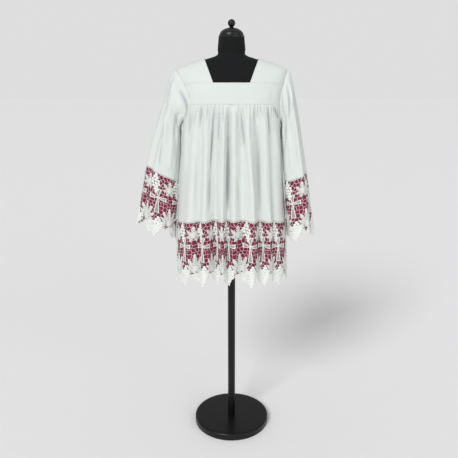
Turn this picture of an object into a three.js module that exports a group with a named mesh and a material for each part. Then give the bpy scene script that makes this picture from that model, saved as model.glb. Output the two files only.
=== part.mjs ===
// A surplice worn on a limbless dress form.
//
// The surplice is a white, square-necked vestment. A plain yoke (a front piece, a back piece and a
// shoulder piece on each side) carries a gathered front and back panel. The wide sleeves hang from the
// armholes. A deep border of open lace over a crimson lining finishes the hem and both cuffs, and its
// scalloped edge reaches below the lining. The form is a smooth torso with a neck cap and ball, on a
// pole and a round base.
//
// Millimetres, +Z up. The origin is the centre of the base's underside, and the front faces -Y.
// The wearer's left is +X. Every cloth piece is a wall: a surface worked out from sections and folds,
// given a thickness, with a narrow gap along each seam.

import * as THREE from "three";

// ---- cloth ----
const CLOTH = 1.6;
const REST = 3.2; // how far the form's shoulders lie inside the worn outline
const LACE = { proud: 1.0, thick: 1.3 };
const LINING = { hem: 2.8, cuff: 2, thick: 1 }; // how far each lies behind the surface, and its wall
const SEAM_GAP = 0.4;
const ARMHOLE_GAP = 0.6;
const CUFF_SEAM = 0.004; // the sleeve stops this share of a section above its lace
const SHOULDER_SIDES = 0.0012; // share of a shoulder piece left free at the armhole and the neckline
const SHOULDER_ENDS = 0.004; // share of its half length left free at the yokes
const CUFF_SPLIT = 0.0003; // share of a cuff left free at each join of its two lace pieces
const SIDE_INSET = 0.0002; // share of a panel's width left free at each side seam

// ---- heights ----
const UNDERARM = 1350;
const HEM_SEAM = 955; // where the panels end and the lace begins, at the side seams
const LACE_DROP = 270; // from that seam to the tips of the scallops
const HEM_RISE = 28; // how far the chest and back lift the hem at the centre
const LINING_SHARE = 0.8; // of the lace's drop

// ---- neckline ----
const NECK = { corner: 69, shoulder: 104.5 }; // half widths at the front yoke and on the shoulder
const BACK_NECK_TAPER = 0.35; // how far the back corner moves from the first of these to the second

// ---- gathers and lace repeats ----
const GATHERS = 28; // along each yoke seam
const GATHER_DEPTH = 2.8;
const GATHER_LENGTH = 105;
const GATHER_SEWN = { share: 0.25, length: 18 }; // how flat the seam holds them, and down to where
const FOLD_START = 0.12; // the long folds are full this far down the panel
const FOLD_SIDES = 0.05; // and this far in from its side seams
const HEM_FOLDS = { deeper: 1.6, wider: 1.2 }; // how much the long folds grow down to the hem
const REPEATS = { panel: 7, halfCuff: 2 };

// The worn cloth's outline, without folds. Each row is a level section: half width, and reach to the
// front and the back. power is how square the section is (2 is an ellipse).
const WORN = [
  { z: 650, wide: 237, front: 166, back: 160, power: 2.2 },
  { z: 700, wide: 235, front: 164, back: 157, power: 2.2 },
  { z: 955, wide: 226, front: 154, back: 147, power: 2.2 },
  { z: 1120, wide: 212, front: 146, back: 138, power: 2.25 },
  { z: 1240, wide: 203, front: 138, back: 130, power: 2.3 },
  { z: 1350, wide: 194, front: 131, back: 121, power: 2.5 },
  { z: 1427, wide: 199, front: 124, back: 114, power: 2.6 },
  { z: 1467, wide: 204, front: 118, back: 111, power: 2.6 },
  { z: 1506, wide: 211, front: 107, back: 106, power: 2.6 },
  { z: 1540, wide: 216, front: 89, back: 94, power: 2.5 },
  { z: 1558, wide: 214, front: 76, back: 82, power: 2.4 },
  { z: 1574, wide: 178, front: 70, back: 75, power: 2.3 },
  { z: 1590, wide: 130, front: 65, back: 69, power: 2.2 },
  { z: 1602, wide: 90, front: 61, back: 64, power: 2.2 },
  { z: 1612, wide: 62, front: 57, back: 60, power: 2.2 },
];

// The form below the chest and at the neck. Between them it is the worn outline, moved in by REST.
const FORM_TORSO = [
  { z: 880, wide: 160, front: 100, back: 104, power: 2.3 },
  { z: 985, wide: 172, front: 112, back: 116, power: 2.3 },
  { z: 1180, wide: 148, front: 98, back: 94, power: 2.3 },
  { z: 1350, wide: 174, front: 110, back: 102, power: 2.4 },
  { z: 1420, wide: 187, front: 117, back: 107, power: 2.5 },
];
const FORM_NECK = [
  { z: 1630, wide: 54, front: 52, back: 53, power: 2.1 },
  { z: 1672, wide: 50, front: 50, back: 50, power: 2 },
];

// Long folds of the two panels. yoke and hem are the fold's place across the panel, from the centre;
// wide is its half width; deep is how far it stands out, or lies in where it is negative.
const FRONT_FOLDS = [
  { yoke: -132, hem: -166, wide: 15, deep: 6 },
  { yoke: -111, hem: -134, wide: 11, deep: -6 },
  { yoke: -92, hem: -106, wide: 13, deep: 8 },
  { yoke: -62, hem: -70, wide: 14, deep: -13 },
  { yoke: -28, hem: -34, wide: 12, deep: 9 },
  { yoke: -9, hem: -17, wide: 10, deep: -11 },
  { yoke: 12, hem: 9, wide: 13, deep: 7 },
  { yoke: 36, hem: 44, wide: 12, deep: -7 },
  { yoke: 62, hem: 82, wide: 14, deep: 11 },
  { yoke: 97, hem: 120, wide: 13, deep: -11 },
  { yoke: 126, hem: 151, wide: 12, deep: 5 },
  { yoke: 150, hem: 174, wide: 12, deep: -5 },
];
const BACK_FOLDS = [
  { yoke: -150, hem: -172, wide: 16, deep: 5 },
  { yoke: -120, hem: -138, wide: 13, deep: -8 },
  { yoke: -88, hem: -104, wide: 14, deep: 8 },
  { yoke: -52, hem: -66, wide: 13, deep: -10 },
  { yoke: -22, hem: -30, wide: 13, deep: 8 },
  { yoke: 6, hem: 4, wide: 11, deep: -9 },
  { yoke: 34, hem: 40, wide: 13, deep: 9 },
  { yoke: 66, hem: 80, wide: 13, deep: -10 },
  { yoke: 98, hem: 117, wide: 13, deep: 8 },
  { yoke: 134, hem: 150, wide: 13, deep: -6 },
];

// The armhole is an oval seen from the side, laid on the worn outline, and a little fuller below its
// middle. It reaches further forward on the wearer's right, where the arm draws the cloth in.
const ARMHOLE = { middle: 1454, tall: 104, frontLeft: 60, frontRight: 90, back: 62, fuller: 0.25 };
// Stations round it in degrees, from the underarm (0) to the tip of the shoulder (180).
const TIP = 180;
const PANEL_STATIONS = [75, 62, 50, 30, 0];
const FRONT_YOKE_STATIONS = [120, 97, 75];
const BACK_YOKE_STATIONS = [140, 120, 97, 75];
const SHOULDER_STATIONS = [120, 140, 160];
const ARMHOLE_STATIONS = [0, 30, 50, 62, 75, 97, 120, 140, 160, TIP];
const RIDGE_ROWS = 0.14; // the shoulder piece's rows beside its ridge, as a share of its half length
const YOKE_COLUMNS = 20;
const SHOULDER_COLUMNS = 8;
const PANEL_LEVELS = [1240, 1110, HEM_SEAM]; // rows below the underarm

// Sleeve sections: the outer and inner point in the front view, half depth, and how far forward the
// middle hangs. The last section is the cuff's edge and the one before it is the lace seam.
const RIGHT_SLEEVE = [
  { s: 0, outX: 214, outZ: 1558, inX: 194, inZ: 1350, deep: 62, fore: 0 },
  { s: 1, outX: 238, outZ: 1530, inX: 202, inZ: 1322, deep: 66, fore: 2 },
  { s: 2, outX: 257, outZ: 1474, inX: 203, inZ: 1288, deep: 66, fore: 6 },
  { s: 3, outX: 278, outZ: 1408, inX: 204, inZ: 1250, deep: 65, fore: 10 },
  { s: 4, outX: 304, outZ: 1330, inX: 207, inZ: 1206, deep: 63, fore: 14 },
  { s: 5, outX: 329, outZ: 1246, inX: 211, inZ: 1158, deep: 59, fore: 18 },
  { s: 6, outX: 343, outZ: 1187, inX: 214.5, inZ: 1122, deep: 55, fore: 20 },
  { s: 7, outX: 396, outZ: 928, inX: 236, inZ: 870, deep: 45, fore: 26 },
];
const LEFT_SLEEVE = [
  { s: 0, outX: 214, outZ: 1558, inX: 194, inZ: 1350, deep: 62, fore: 0 },
  { s: 1, outX: 236, outZ: 1520, inX: 198, inZ: 1318, deep: 66, fore: 2 },
  { s: 2, outX: 252, outZ: 1455, inX: 200.5, inZ: 1282, deep: 70, fore: 6 },
  { s: 3, outX: 267, outZ: 1380, inX: 203.5, inZ: 1244, deep: 74, fore: 10 },
  { s: 4, outX: 280, outZ: 1304, inX: 207, inZ: 1204, deep: 77, fore: 14 },
  { s: 5, outX: 294, outZ: 1223, inX: 211, inZ: 1158, deep: 78, fore: 18 },
  { s: 6, outX: 304, outZ: 1159, inX: 214.5, inZ: 1124, deep: 77, fore: 20 },
  { s: 7, outX: 344, outZ: 896, inX: 236, inZ: 874, deep: 72, fore: 26 },
];
// Folds along a sleeve: at is the place round it (0 is the outer edge, 0.25 the front), wide its half
// width as a share of the round, deep as above, from and to the stations where it starts and ends.
const RIGHT_SLEEVE_FOLDS = [
  { at: 0.13, wide: 0.035, deep: -9, from: 0.6, to: 9 },
  { at: 0.2, wide: 0.035, deep: 6, from: 0.8, to: 9 },
  { at: 0.33, wide: 0.03, deep: -8, from: 0.2, to: 3.5 },
  { at: 0.43, wide: 0.035, deep: -5, from: 2, to: 9 },
  { at: 0.63, wide: 0.04, deep: -7, from: 1, to: 9 },
  { at: 0.8, wide: 0.04, deep: 7, from: 1, to: 9 },
];
const LEFT_SLEEVE_FOLDS = [
  { at: 0.1, wide: 0.035, deep: -7, from: 0.4, to: 9 },
  { at: 0.18, wide: 0.03, deep: 6, from: 0.6, to: 9 },
  { at: 0.27, wide: 0.03, deep: -6, from: 1.5, to: 9 },
  { at: 0.38, wide: 0.035, deep: 6, from: 0.5, to: 9 },
  { at: 0.62, wide: 0.04, deep: -7, from: 1, to: 9 },
  { at: 0.82, wide: 0.04, deep: 7, from: 1, to: 9 },
];
const ARMHOLE_SPREAD = 14; // how far the armhole's shape is carried out along the sleeve, per section
const ARMHOLE_FADE = 1.4; // the section by which the sleeve has its own shape
const SLEEVE_FOLD_ENDS = { grow: 1.2, fade: 1.5 }; // in sections
const SLEEVE_COLUMNS = 28;
const SLEEVE_ROWS = [1, 2, 3, 4.2, 5.2];

// One repeat of the lace border: its columns' places, as shares of the repeat, and its rows. Each row
// has its distance down from the seam and the columns that are open in the band below it.
const LACE_PLACES = [0, 0.16, 0.3, 0.38, 0.52, 0.6, 0.75, 0.84];
const LACE_ROWS = [
  { down: 0, open: [] },
  { down: 20, open: [0, 4, 7] },
  { down: 32, open: [] },
  { down: 86, open: [2, 4, 6] },
  { down: 98, open: [] },
  { down: 120, open: [2, 4, 6] },
  { down: 133, open: [] },
  { down: 214, open: [2, 4, 6] },
  { down: 226, open: [] },
];
// How far down the scalloped edge lies at each column.
const SCALLOP = [240, 262, 270, 264, 250, 258, 254, 241];

// ---- form ----
const FORM_COLUMNS = 24;
const CHEST = 1450; // above this height the form is the worn outline, moved in
const NECK_TOP = 1672;
const CAP = { radius: 50, rim: 8, lip: 3, dome: 30, round: 20 };
const BALL = { radius: 14.5, stalk: 8, foot: -58, steps: 7, round: 16 }; // foot: degrees below level
const POLE = { radius: 16, round: 16 };
const TORSO_FOOT = 880;
const BASE = { radius: 166, thick: 30, bevel: 7, chamfer: 1.5, round: 36 };
const SEAT_GAP = 0.3;

// ---- small tools ----
const TAU = Math.PI * 2;
const radians = THREE.MathUtils.degToRad;
const point = (x, y, z) => new THREE.Vector3(x, y, z);
const ramp = (t) => THREE.MathUtils.smoothstep(t, 0, 1);

// Every column of a table at one value of its key column, on a smooth curve through the rows.
function rowAt(table, key, value) {
  let i = 0;
  while (i < table.length - 2 && value > table[i + 1][key]) i++;
  const a = table[i];
  const b = table[i + 1];
  const before = table[Math.max(i - 1, 0)];
  const after = table[Math.min(i + 2, table.length - 1)];
  const step = b[key] - a[key];
  const t = (value - a[key]) / step;
  const [t2, t3] = [t * t, t * t * t];
  const found = {};
  for (const name of Object.keys(a)) {
    const leave = ((b[name] - before[name]) / (b[key] - before[key])) * step;
    const arrive = ((after[name] - a[name]) / (after[key] - a[key])) * step;
    found[name] =
      (2 * t3 - 3 * t2 + 1) * a[name] +
      (t3 - 2 * t2 + t) * leave +
      (3 * t2 - 2 * t3) * b[name] +
      (t3 - t2) * arrive;
  }
  return found;
}

// A point of a level section. The angle runs from +X through the back (+Y).
function onSection(section, angle) {
  const [c, s] = [Math.cos(angle), Math.sin(angle)];
  const bend = 2 / section.power;
  const reach = s < 0 ? section.front : section.back;
  return point(
    section.wide * Math.sign(c) * Math.abs(c) ** bend,
    reach * Math.sign(s) * Math.abs(s) ** bend,
    section.z,
  );
}

// A surface's outward direction where (across, down) is a point of it.
function outward(surface, across, down) {
  const [du, dv] = [1e-4, 1e-3];
  const alongRow = surface(across + du, down).sub(surface(across - du, down));
  const downwards = surface(across, down + dv).sub(surface(across, down - dv));
  return downwards.cross(alongRow).normalize();
}

// A closed wall from a surface. Each row has a place down the surface, places across it, and the
// columns left open in the band below. keep names an axis along which a row isn't thickened, so that
// a seam's edge stays level. A wall that closes on itself joins its last column to its first.
function wall(surface, rows, { proud = 0, thick = CLOTH, closed = false } = {}) {
  const outer = [];
  const inner = [];
  const starts = rows.map(({ across, down, keep, depth }) => {
    const start = outer.length;
    across.forEach((u, i) => {
      const v = depth ? depth[i] : down;
      const base = surface(u, v);
      const away = outward(surface, u, v);
      if (keep) away[keep] = 0;
      away.normalize();
      outer.push(base.clone().addScaledVector(away, proud));
      inner.push(base.clone().addScaledVector(away, proud - thick));
    });
    return start;
  });
  const triangles = [];
  for (let r = 0; r + 1 < rows.length; r++) {
    band(triangles, rows[r], starts[r], rows[r + 1], starts[r + 1], closed);
  }
  return thickened(outer, inner, triangles);
}

// The triangles between two rows, which may hold different numbers of points.
function band(triangles, upper, upperStart, lower, lowerStart, closed) {
  const open = new Set(upper.open || []);
  const last = closed ? 0 : 1;
  const [nUpper, nLower] = [upper.across.length - last, lower.across.length - last];
  const place = (row, i) => (i < row.across.length ? row.across[i] : 1 + row.across[0]);
  const a = (i) => upperStart + (i % upper.across.length);
  const b = (j) => lowerStart + (j % lower.across.length);
  let [i, j] = [0, 0];
  while (i < nUpper || j < nLower) {
    const pairs = nUpper === nLower;
    const gap = pairs && i === j && open.has(i);
    if (gap) {
      i++;
      j++;
      continue;
    }
    const upperNext = pairs ? i === j : nextIsUpper(place, upper, i, nUpper, lower, j, nLower);
    if (upperNext) {
      triangles.push([a(i), b(j), a(i + 1)]);
      i++;
    } else {
      triangles.push([a(i), b(j), b(j + 1)]);
      j++;
    }
  }
}

function nextIsUpper(place, upper, i, nUpper, lower, j, nLower) {
  if (i >= nUpper) return false;
  if (j >= nLower) return true;
  return place(upper, i + 1) <= place(lower, j + 1) + 1e-9;
}

// Outer triangles, the same ones turned round on the inner points, and a strip round every edge.
function thickened(outer, inner, triangles) {
  const count = outer.length;
  const faces = triangles.flatMap(([a, b, c]) => [
    [a, b, c],
    [a + count, c + count, b + count],
  ]);
  const sides = new Set();
  const key = (a, b) => a * count + b;
  for (const [a, b, c] of triangles) {
    sides.add(key(a, b)).add(key(b, c)).add(key(c, a));
  }
  for (const side of sides) {
    const [a, b] = [Math.floor(side / count), side % count];
    if (sides.has(key(b, a))) continue;
    faces.push([b, a, a + count], [b, a + count, b + count]);
  }
  const positions = [...outer, ...inner].flatMap((p) => [p.x, p.y, p.z]);
  const geometry = new THREE.BufferGeometry();
  geometry.setAttribute("position", new THREE.Float32BufferAttribute(positions, 3));
  geometry.setIndex(faces.flat());
  return geometry.toNonIndexed();
}

const evenly = (columns, closed = false) =>
  Array.from({ length: columns + (closed ? 0 : 1) }, (_, i) => i / columns);

const inset = (across) => across.map((u) => SIDE_INSET + u * (1 - 2 * SIDE_INSET));

// ---- armhole ----
const armholeHeight = (station) => ARMHOLE.middle - ARMHOLE.tall * Math.cos(radians(station));

// How far the armhole's edge lies before or behind the middle of the side, at a height. face is -1 at
// the front and +1 at the back, side is -1 on the wearer's right and +1 on the left.
function armholeReach(z, face, side) {
  const deep = face > 0 ? ARMHOLE.back : side > 0 ? ARMHOLE.frontLeft : ARMHOLE.frontRight;
  const rise = THREE.MathUtils.clamp((z - ARMHOLE.middle) / ARMHOLE.tall, -1, 1);
  return deep * Math.sqrt(1 - rise * rise) * (1 - ARMHOLE.fuller * rise);
}

const facing = (section, face) => (face < 0 ? section.front : section.back);

// The same as an angle of the level section, measured from the side.
function armholeAngle(z, face, side) {
  const section = rowAt(WORN, "z", z);
  return Math.asin((armholeReach(z, face, side) / facing(section, face)) ** (section.power / 2));
}

// A point of the armhole, on the +X side whichever side it is of.
function armholePoint(station, face, side) {
  const z = armholeHeight(station);
  return onSection(rowAt(WORN, "z", z), face * armholeAngle(z, face, side));
}

// A point of the worn outline, from one armhole (u = 0) to the other (u = 1). The front runs from the
// wearer's right to the left, and the back from the left to the right.
function acrossBody(u, level, face, lift = 0) {
  const [start, first] = face < 0 ? [Math.PI, -1] : [0, 1];
  const cut = level > UNDERARM;
  const from = cut ? armholeAngle(level, face, first) : 0;
  const to = Math.PI - (cut ? armholeAngle(level, face, -first) : 0);
  return onSection(rowAt(WORN, "z", level + lift), start + from + u * (to - from));
}

// ---- front and back panels, and the yoke pieces above them ----
function panelSurface(face, folds) {
  const plain = (u, level) => {
    const fall = ramp((UNDERARM - level) / (UNDERARM - HEM_SEAM));
    const lift = HEM_RISE * fall * Math.sin(Math.PI * THREE.MathUtils.clamp(u, 0, 1)) ** 2;
    return acrossBody(u, level, face, lift);
  };
  return (u, level) => {
    const base = plain(u, level);
    const alongRow = plain(u + 1e-4, level).sub(plain(u - 1e-4, level));
    const away = point(alongRow.y, -alongRow.x, 0).normalize();
    return base.addScaledVector(away, panelFold(u, level, base.x, folds));
  };
}

// How far the cloth stands out from the plain outline.
function panelFold(u, level, x, folds) {
  const top = armholeHeight(PANEL_STATIONS[0]);
  const fall = THREE.MathUtils.clamp((top - level) / (top - HEM_SEAM), 0, 1);
  const sides = ramp(u / FOLD_SIDES) * ramp((1 - u) / FOLD_SIDES);
  const grown = ramp(fall / FOLD_START) * THREE.MathUtils.lerp(1, HEM_FOLDS.deeper, ramp(fall));
  let depth = 0;
  for (const fold of folds) {
    const middle = THREE.MathUtils.lerp(fold.yoke, fold.hem, fall);
    const wide = fold.wide * THREE.MathUtils.lerp(1, HEM_FOLDS.wider, fall);
    depth += fold.deep * Math.exp(-(((x - middle) / wide) ** 2));
  }
  const fade = 1 - ramp((top - level) / GATHER_LENGTH);
  const sewn = THREE.MathUtils.lerp(GATHER_SEWN.share, 1, ramp((top - level) / GATHER_SEWN.length));
  const gathers = GATHER_DEPTH * fade * sewn * Math.cos(TAU * GATHERS * u);
  return sides * (depth * grown + gathers);
}

// The lace border hangs straight from the hem seam: each column is a straight line.
function borderSurface(top, foot, drop) {
  return (u, down) => top(u).lerp(foot(u), down / drop);
}

function laceColumns(repeats) {
  const starts = Array.from({ length: repeats }, (_, repeat) => repeat);
  return inset([...starts.flatMap((r) => LACE_PLACES.map((place) => (r + place) / repeats)), 1]);
}

function laceRows(repeats) {
  const across = laceColumns(repeats);
  const starts = Array.from({ length: repeats }, (_, repeat) => repeat * LACE_PLACES.length);
  const rows = LACE_ROWS.map(({ down, open }) => ({
    down: Math.max(down, SEAM_GAP),
    across,
    open: starts.flatMap((start) => open.map((column) => start + column)),
  }));
  rows.push({ across, depth: [...starts.flatMap(() => SCALLOP), SCALLOP[0]] });
  return rows;
}

function liningRows(across) {
  return [SEAM_GAP, LACE_DROP * LINING_SHARE].map((down) => ({ down, across }));
}

function panelPieces(face, folds, names) {
  const surface = panelSurface(face, folds);
  const gathered = inset(evenly(GATHERS * 2));
  const sewnColumns = laceColumns(REPEATS.panel);
  const stations = PANEL_STATIONS.map((station, i) => ({
    down: armholeHeight(station) - (i ? 0 : SEAM_GAP / 2),
    across: gathered,
    keep: i ? undefined : "z",
  }));
  const below = PANEL_LEVELS.map((level) => ({
    down: level + (level === HEM_SEAM ? SEAM_GAP / 2 : 0),
    across: sewnColumns,
    keep: level === HEM_SEAM ? "z" : undefined,
  }));
  const turned = (u, v) => surface(u, -v); // down grows downwards
  const flip = (rows) => rows.map((row) => ({ ...row, down: -row.down }));
  const border = borderSurface(
    (u) => surface(u, HEM_SEAM),
    (u) => surface(u, HEM_SEAM - LACE_DROP),
    LACE_DROP,
  );
  return {
    [names.panel]: wall(turned, flip([...stations, ...below])),
    [names.lace]: wall(border, laceRows(REPEATS.panel), { proud: LACE.proud, thick: LACE.thick }),
    [names.lining]: wall(border, liningRows(sewnColumns), {
      proud: -LINING.hem,
      thick: LINING.thick,
    }),
  };
}

// A yoke piece wraps the chest or the back from armhole to armhole.
function yokePiece(face, stations) {
  const surface = (u, v) => acrossBody(u, -v, face);
  const heights = stations.map(armholeHeight);
  const rows = heights.map((z, i) => ({
    down: -z + (i ? 0 : SEAM_GAP / 2) - (i === heights.length - 1 ? SEAM_GAP / 2 : 0),
    across: inset(evenly(YOKE_COLUMNS)),
    keep: i === 0 || i === heights.length - 1 ? "z" : undefined,
  }));
  return wall(surface, rows);
}

// Height of the shoulder's ridge at a distance from the middle.
function ridgeHeight(x) {
  let [low, high] = [1555, 1611];
  for (let i = 0; i < 40; i++) {
    const middle = (low + high) / 2;
    if (rowAt(WORN, "z", middle).wide > x) low = middle;
    else high = middle;
  }
  return low;
}

// A shoulder piece, from the armhole (u = 0) to the neckline (u = 1), and from the front yoke (v = 0)
// over the ridge (v = 1) to the back yoke (v = 2). Its point is on the +X side for either side.
function shoulderSurface(u, v, side) {
  const face = v < 1 ? -1 : 1;
  const station = face < 0 ? FRONT_YOKE_STATIONS[0] : BACK_YOKE_STATIONS[0];
  const turn = THREE.MathUtils.lerp(station, TIP, face < 0 ? v : 2 - v);
  const foot = armholeHeight(station);
  const climb = (armholeHeight(turn) - foot) / (ARMHOLE.middle + ARMHOLE.tall - foot);
  const neckFoot = THREE.MathUtils.lerp(NECK.corner, NECK.shoulder, face < 0 ? 0 : BACK_NECK_TAPER);
  const neckX = THREE.MathUtils.lerp(neckFoot, NECK.shoulder, climb);
  const armX = armholePoint(turn, face, side).x;
  const ridgeX = THREE.MathUtils.lerp(ARMHOLE_TIP.x, NECK.shoulder, u);
  const z = foot + (ridgeHeight(ridgeX) - foot) * climb;
  const x = THREE.MathUtils.lerp(armX, neckX, u);
  const section = rowAt(WORN, "z", z);
  const share = Math.min(x / section.wide, 1) ** section.power;
  return point(x, face * facing(section, face) * (1 - share) ** (1 / section.power), z);
}

function shoulderPiece(side) {
  const surface =
    side > 0
      ? (u, v) => shoulderSurface(u, v, side)
      : (u, v) => shoulderSurface(1 - u, v, side).multiply(point(-1, 1, 1));
  const placesFrom = (first) =>
    SHOULDER_STATIONS.filter((s) => s >= first).map((s) => (s - first) / (TIP - first));
  const front = placesFrom(FRONT_YOKE_STATIONS[0]);
  const back = placesFrom(BACK_YOKE_STATIONS[0]).reverse().map((v) => 2 - v);
  const places = [...front, 1 - RIDGE_ROWS, 1, 1 + RIDGE_ROWS, ...back];
  const last = places.length - 1;
  places[0] += SHOULDER_ENDS;
  places[last] -= SHOULDER_ENDS;
  const across = evenly(SHOULDER_COLUMNS).map((u) => SHOULDER_SIDES + u * (1 - 2 * SHOULDER_SIDES));
  const rows = places.map((down, i) => ({ down, across, keep: i === 0 || i === last ? "z" : undefined }));
  return wall(surface, rows);
}

// ---- sleeves ----
// A sleeve's surface: u goes round from the outer edge, by the back on the wearer's left (side +1) and
// by the front on the right, and s goes down the table. Near the armhole it has the armhole's shape.
function sleeveSurface(side, table, folds) {
  const plain = (u, s) => {
    const row = rowAt(table, "s", s);
    const angle = TAU * u;
    const outer = (1 + Math.cos(angle)) / 2; // 1 at the outer edge, 0 at the inner one
    const back = Math.sin(angle) * side;
    const oval = point(
      THREE.MathUtils.lerp(row.inX, row.outX, outer),
      back * row.deep - row.fore,
      THREE.MathUtils.lerp(row.inZ, row.outZ, outer),
    );
    const station = TIP - THREE.MathUtils.radToDeg(Math.acos(THREE.MathUtils.clamp(2 * outer - 1, -1, 1)));
    const seam = armholePoint(station, back < 0 ? -1 : 1, side);
    seam.x += ARMHOLE_GAP + ARMHOLE_SPREAD * s;
    const placed = seam.lerp(oval, ramp(s / ARMHOLE_FADE));
    placed.x *= side;
    return placed;
  };
  return (u, s) => {
    const base = plain(u, s);
    const round = plain(u + 1e-4, s).sub(plain(u - 1e-4, s));
    const along = plain(u, s + 1e-3).sub(plain(u, s - 1e-3));
    const away = along.cross(round).normalize();
    return base.addScaledVector(away, sleeveFold(side > 0 ? 1 - u : u, s, folds));
  };
}

function sleeveFold(u, s, folds) {
  let depth = 0;
  for (const { at, wide, deep, from, to } of folds) {
    let off = (((u - at) % 1) + 1) % 1;
    off = Math.min(off, 1 - off);
    const { grow, fade } = SLEEVE_FOLD_ENDS;
    const held = ramp((s - from) / grow) * ramp((to - s) / fade);
    depth += deep * held * Math.exp(-((off / wide) ** 2));
  }
  return depth;
}

function sleevePieces(side, name, table, folds) {
  const surface = sleeveSurface(side, table, folds);
  const [seam, edge] = [table.length - 2, table.length - 1];
  // The armhole's own stations, as places round the sleeve, so that both sides of the seam match.
  const half = ARMHOLE_STATIONS.slice().reverse().map((station) => (TIP - station) / (2 * TIP));
  const round = [...half, ...half.slice(1, -1).reverse().map((u) => 1 - u)];
  const columns = REPEATS.halfCuff * 2 * LACE_PLACES.length;
  const cuffRound = laceColumns(REPEATS.halfCuff * 2).slice(0, columns);
  const rows = [
    { down: 0, across: round, keep: "x" },
    ...SLEEVE_ROWS.map((s) => ({ down: s, across: evenly(SLEEVE_COLUMNS, true) })),
    { down: seam - CUFF_SEAM, across: cuffRound },
  ];
  const border = borderSurface(
    (u) => surface(u, seam),
    (u) => surface(u, edge),
    LACE_DROP,
  );
  const halves = { front: side > 0 ? 0.5 : 0, back: side > 0 ? 0 : 0.5 };
  const made = { [`sleeve_${name}`]: wall(surface, rows, { closed: true }) };
  for (const [part, start] of Object.entries(halves)) {
    const cut = (u, down) => border(start + CUFF_SPLIT + u * (0.5 - 2 * CUFF_SPLIT), down);
    made[`cuff_lace_${name}_${part}`] = wall(cut, laceRows(REPEATS.halfCuff), {
      proud: LACE.proud,
      thick: LACE.thick,
    });
  }
  made[`cuff_lining_${name}`] = wall(border, liningRows(cuffRound), {
    proud: -LINING.cuff,
    thick: LINING.thick,
    closed: true,
  });
  return made;
}

// ---- form ----
function torso() {
  const shoulders = WORN.filter(({ z }) => z > CHEST).map((section) => ({
    z: section.z - REST,
    wide: section.wide - 2 * REST,
    front: section.front - REST,
    back: section.back - REST,
    power: section.power,
  }));
  const sections = [...FORM_TORSO, ...shoulders, ...FORM_NECK];
  const round = evenly(FORM_COLUMNS, true);
  const points = sections.flatMap((section) => round.map((u) => onSection(section, u * TAU)));
  const faces = [];
  const index = (row, column) => row * FORM_COLUMNS + (column % FORM_COLUMNS);
  for (let row = 0; row + 1 < sections.length; row++) {
    for (let c = 0; c < FORM_COLUMNS; c++) {
      const corners = [index(row, c), index(row, c + 1), index(row + 1, c), index(row + 1, c + 1)];
      faces.push([corners[0], corners[1], corners[3]], [corners[0], corners[3], corners[2]]);
    }
  }
  for (const [row, turn] of [[0, 1], [sections.length - 1, 0]]) {
    for (let c = 1; c + 1 < FORM_COLUMNS; c++) {
      const fan = [index(row, 0), index(row, c), index(row, c + 1)];
      faces.push(turn ? fan.reverse() : fan);
    }
  }
  const geometry = new THREE.BufferGeometry();
  const positions = points.flatMap((p) => [p.x, p.y, p.z]);
  geometry.setAttribute("position", new THREE.Float32BufferAttribute(positions, 3));
  geometry.setIndex(faces.flat());
  return geometry.toNonIndexed();
}

// A turned piece: profile points are [radius, height], from the axis round to the axis.
function turned(profile, segments) {
  const points = profile.map(([r, z]) => new THREE.Vector2(r, z));
  const lathe = new THREE.LatheGeometry(points, segments);
  return lathe.rotateX(Math.PI / 2);
}

// Points of a quarter round from (radius, foot) to the axis side, rising by its height.
function quarter(radius, inner, foot, height, steps) {
  return Array.from({ length: steps + 1 }, (_, i) => {
    const angle = (i / steps) * (Math.PI / 2);
    return [inner + (radius - inner) * Math.cos(angle), foot + height * Math.sin(angle)];
  });
}

function neckCap() {
  const foot = NECK_TOP + SEAT_GAP;
  const { radius, rim, lip, dome, round } = CAP;
  const arc = quarter(radius - lip, 0, foot + rim, dome, 5).slice(0, -1);
  return turned([[0, foot], [radius, foot], [radius, foot + rim], ...arc, [0, foot + rim + dome]], round);
}

function ball() {
  const foot = NECK_TOP + CAP.rim + CAP.dome + 2 * SEAT_GAP;
  const middle = foot + BALL.radius + 1;
  const arc = Array.from({ length: BALL.steps }, (_, i) => {
    const angle = radians(THREE.MathUtils.lerp(BALL.foot, 90, i / BALL.steps));
    return [BALL.radius * Math.cos(angle), middle + BALL.radius * Math.sin(angle)];
  });
  return turned([[0, foot], [BALL.stalk, foot], ...arc, [0, middle + BALL.radius]], BALL.round);
}

function pole() {
  const [foot, top] = [BASE.thick + SEAT_GAP, TORSO_FOOT - SEAT_GAP];
  return turned([[0, foot], [POLE.radius, foot], [POLE.radius, top], [0, top]], POLE.round);
}

function base() {
  const { radius, thick, bevel, chamfer, round } = BASE;
  const rim = quarter(radius, radius - bevel, thick - bevel, bevel, 3);
  return turned([[0, 0], [radius - chamfer, 0], [radius, chamfer], ...rim, [0, thick]], round);
}

// ---- the assembled object ----
const ARMHOLE_TIP = armholePoint(180, -1, 1);

const FINISHES = {
  cloth: { color: 0xe6ebe7, roughness: 0.85 },
  lace: { color: 0xf0f1ec, roughness: 0.8 },
  lining: { color: 0x8c1c3a, roughness: 0.7 },
  jersey: { color: 0x101313, roughness: 0.9 },
  plastic: { color: 0x141616, roughness: 0.4 },
  steel: { color: 0x0e1010, roughness: 0.35, metalness: 0.2 },
};

const pieces = {
  cloth: {
    front_yoke: yokePiece(-1, FRONT_YOKE_STATIONS),
    back_yoke: yokePiece(1, BACK_YOKE_STATIONS),
    shoulder_left: shoulderPiece(1),
    shoulder_right: shoulderPiece(-1),
  },
  lace: {},
  lining: {},
  jersey: { form_torso: torso() },
  plastic: { form_neck_cap: neckCap(), form_ball: ball() },
  steel: { form_pole: pole(), form_base: base() },
};

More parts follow.
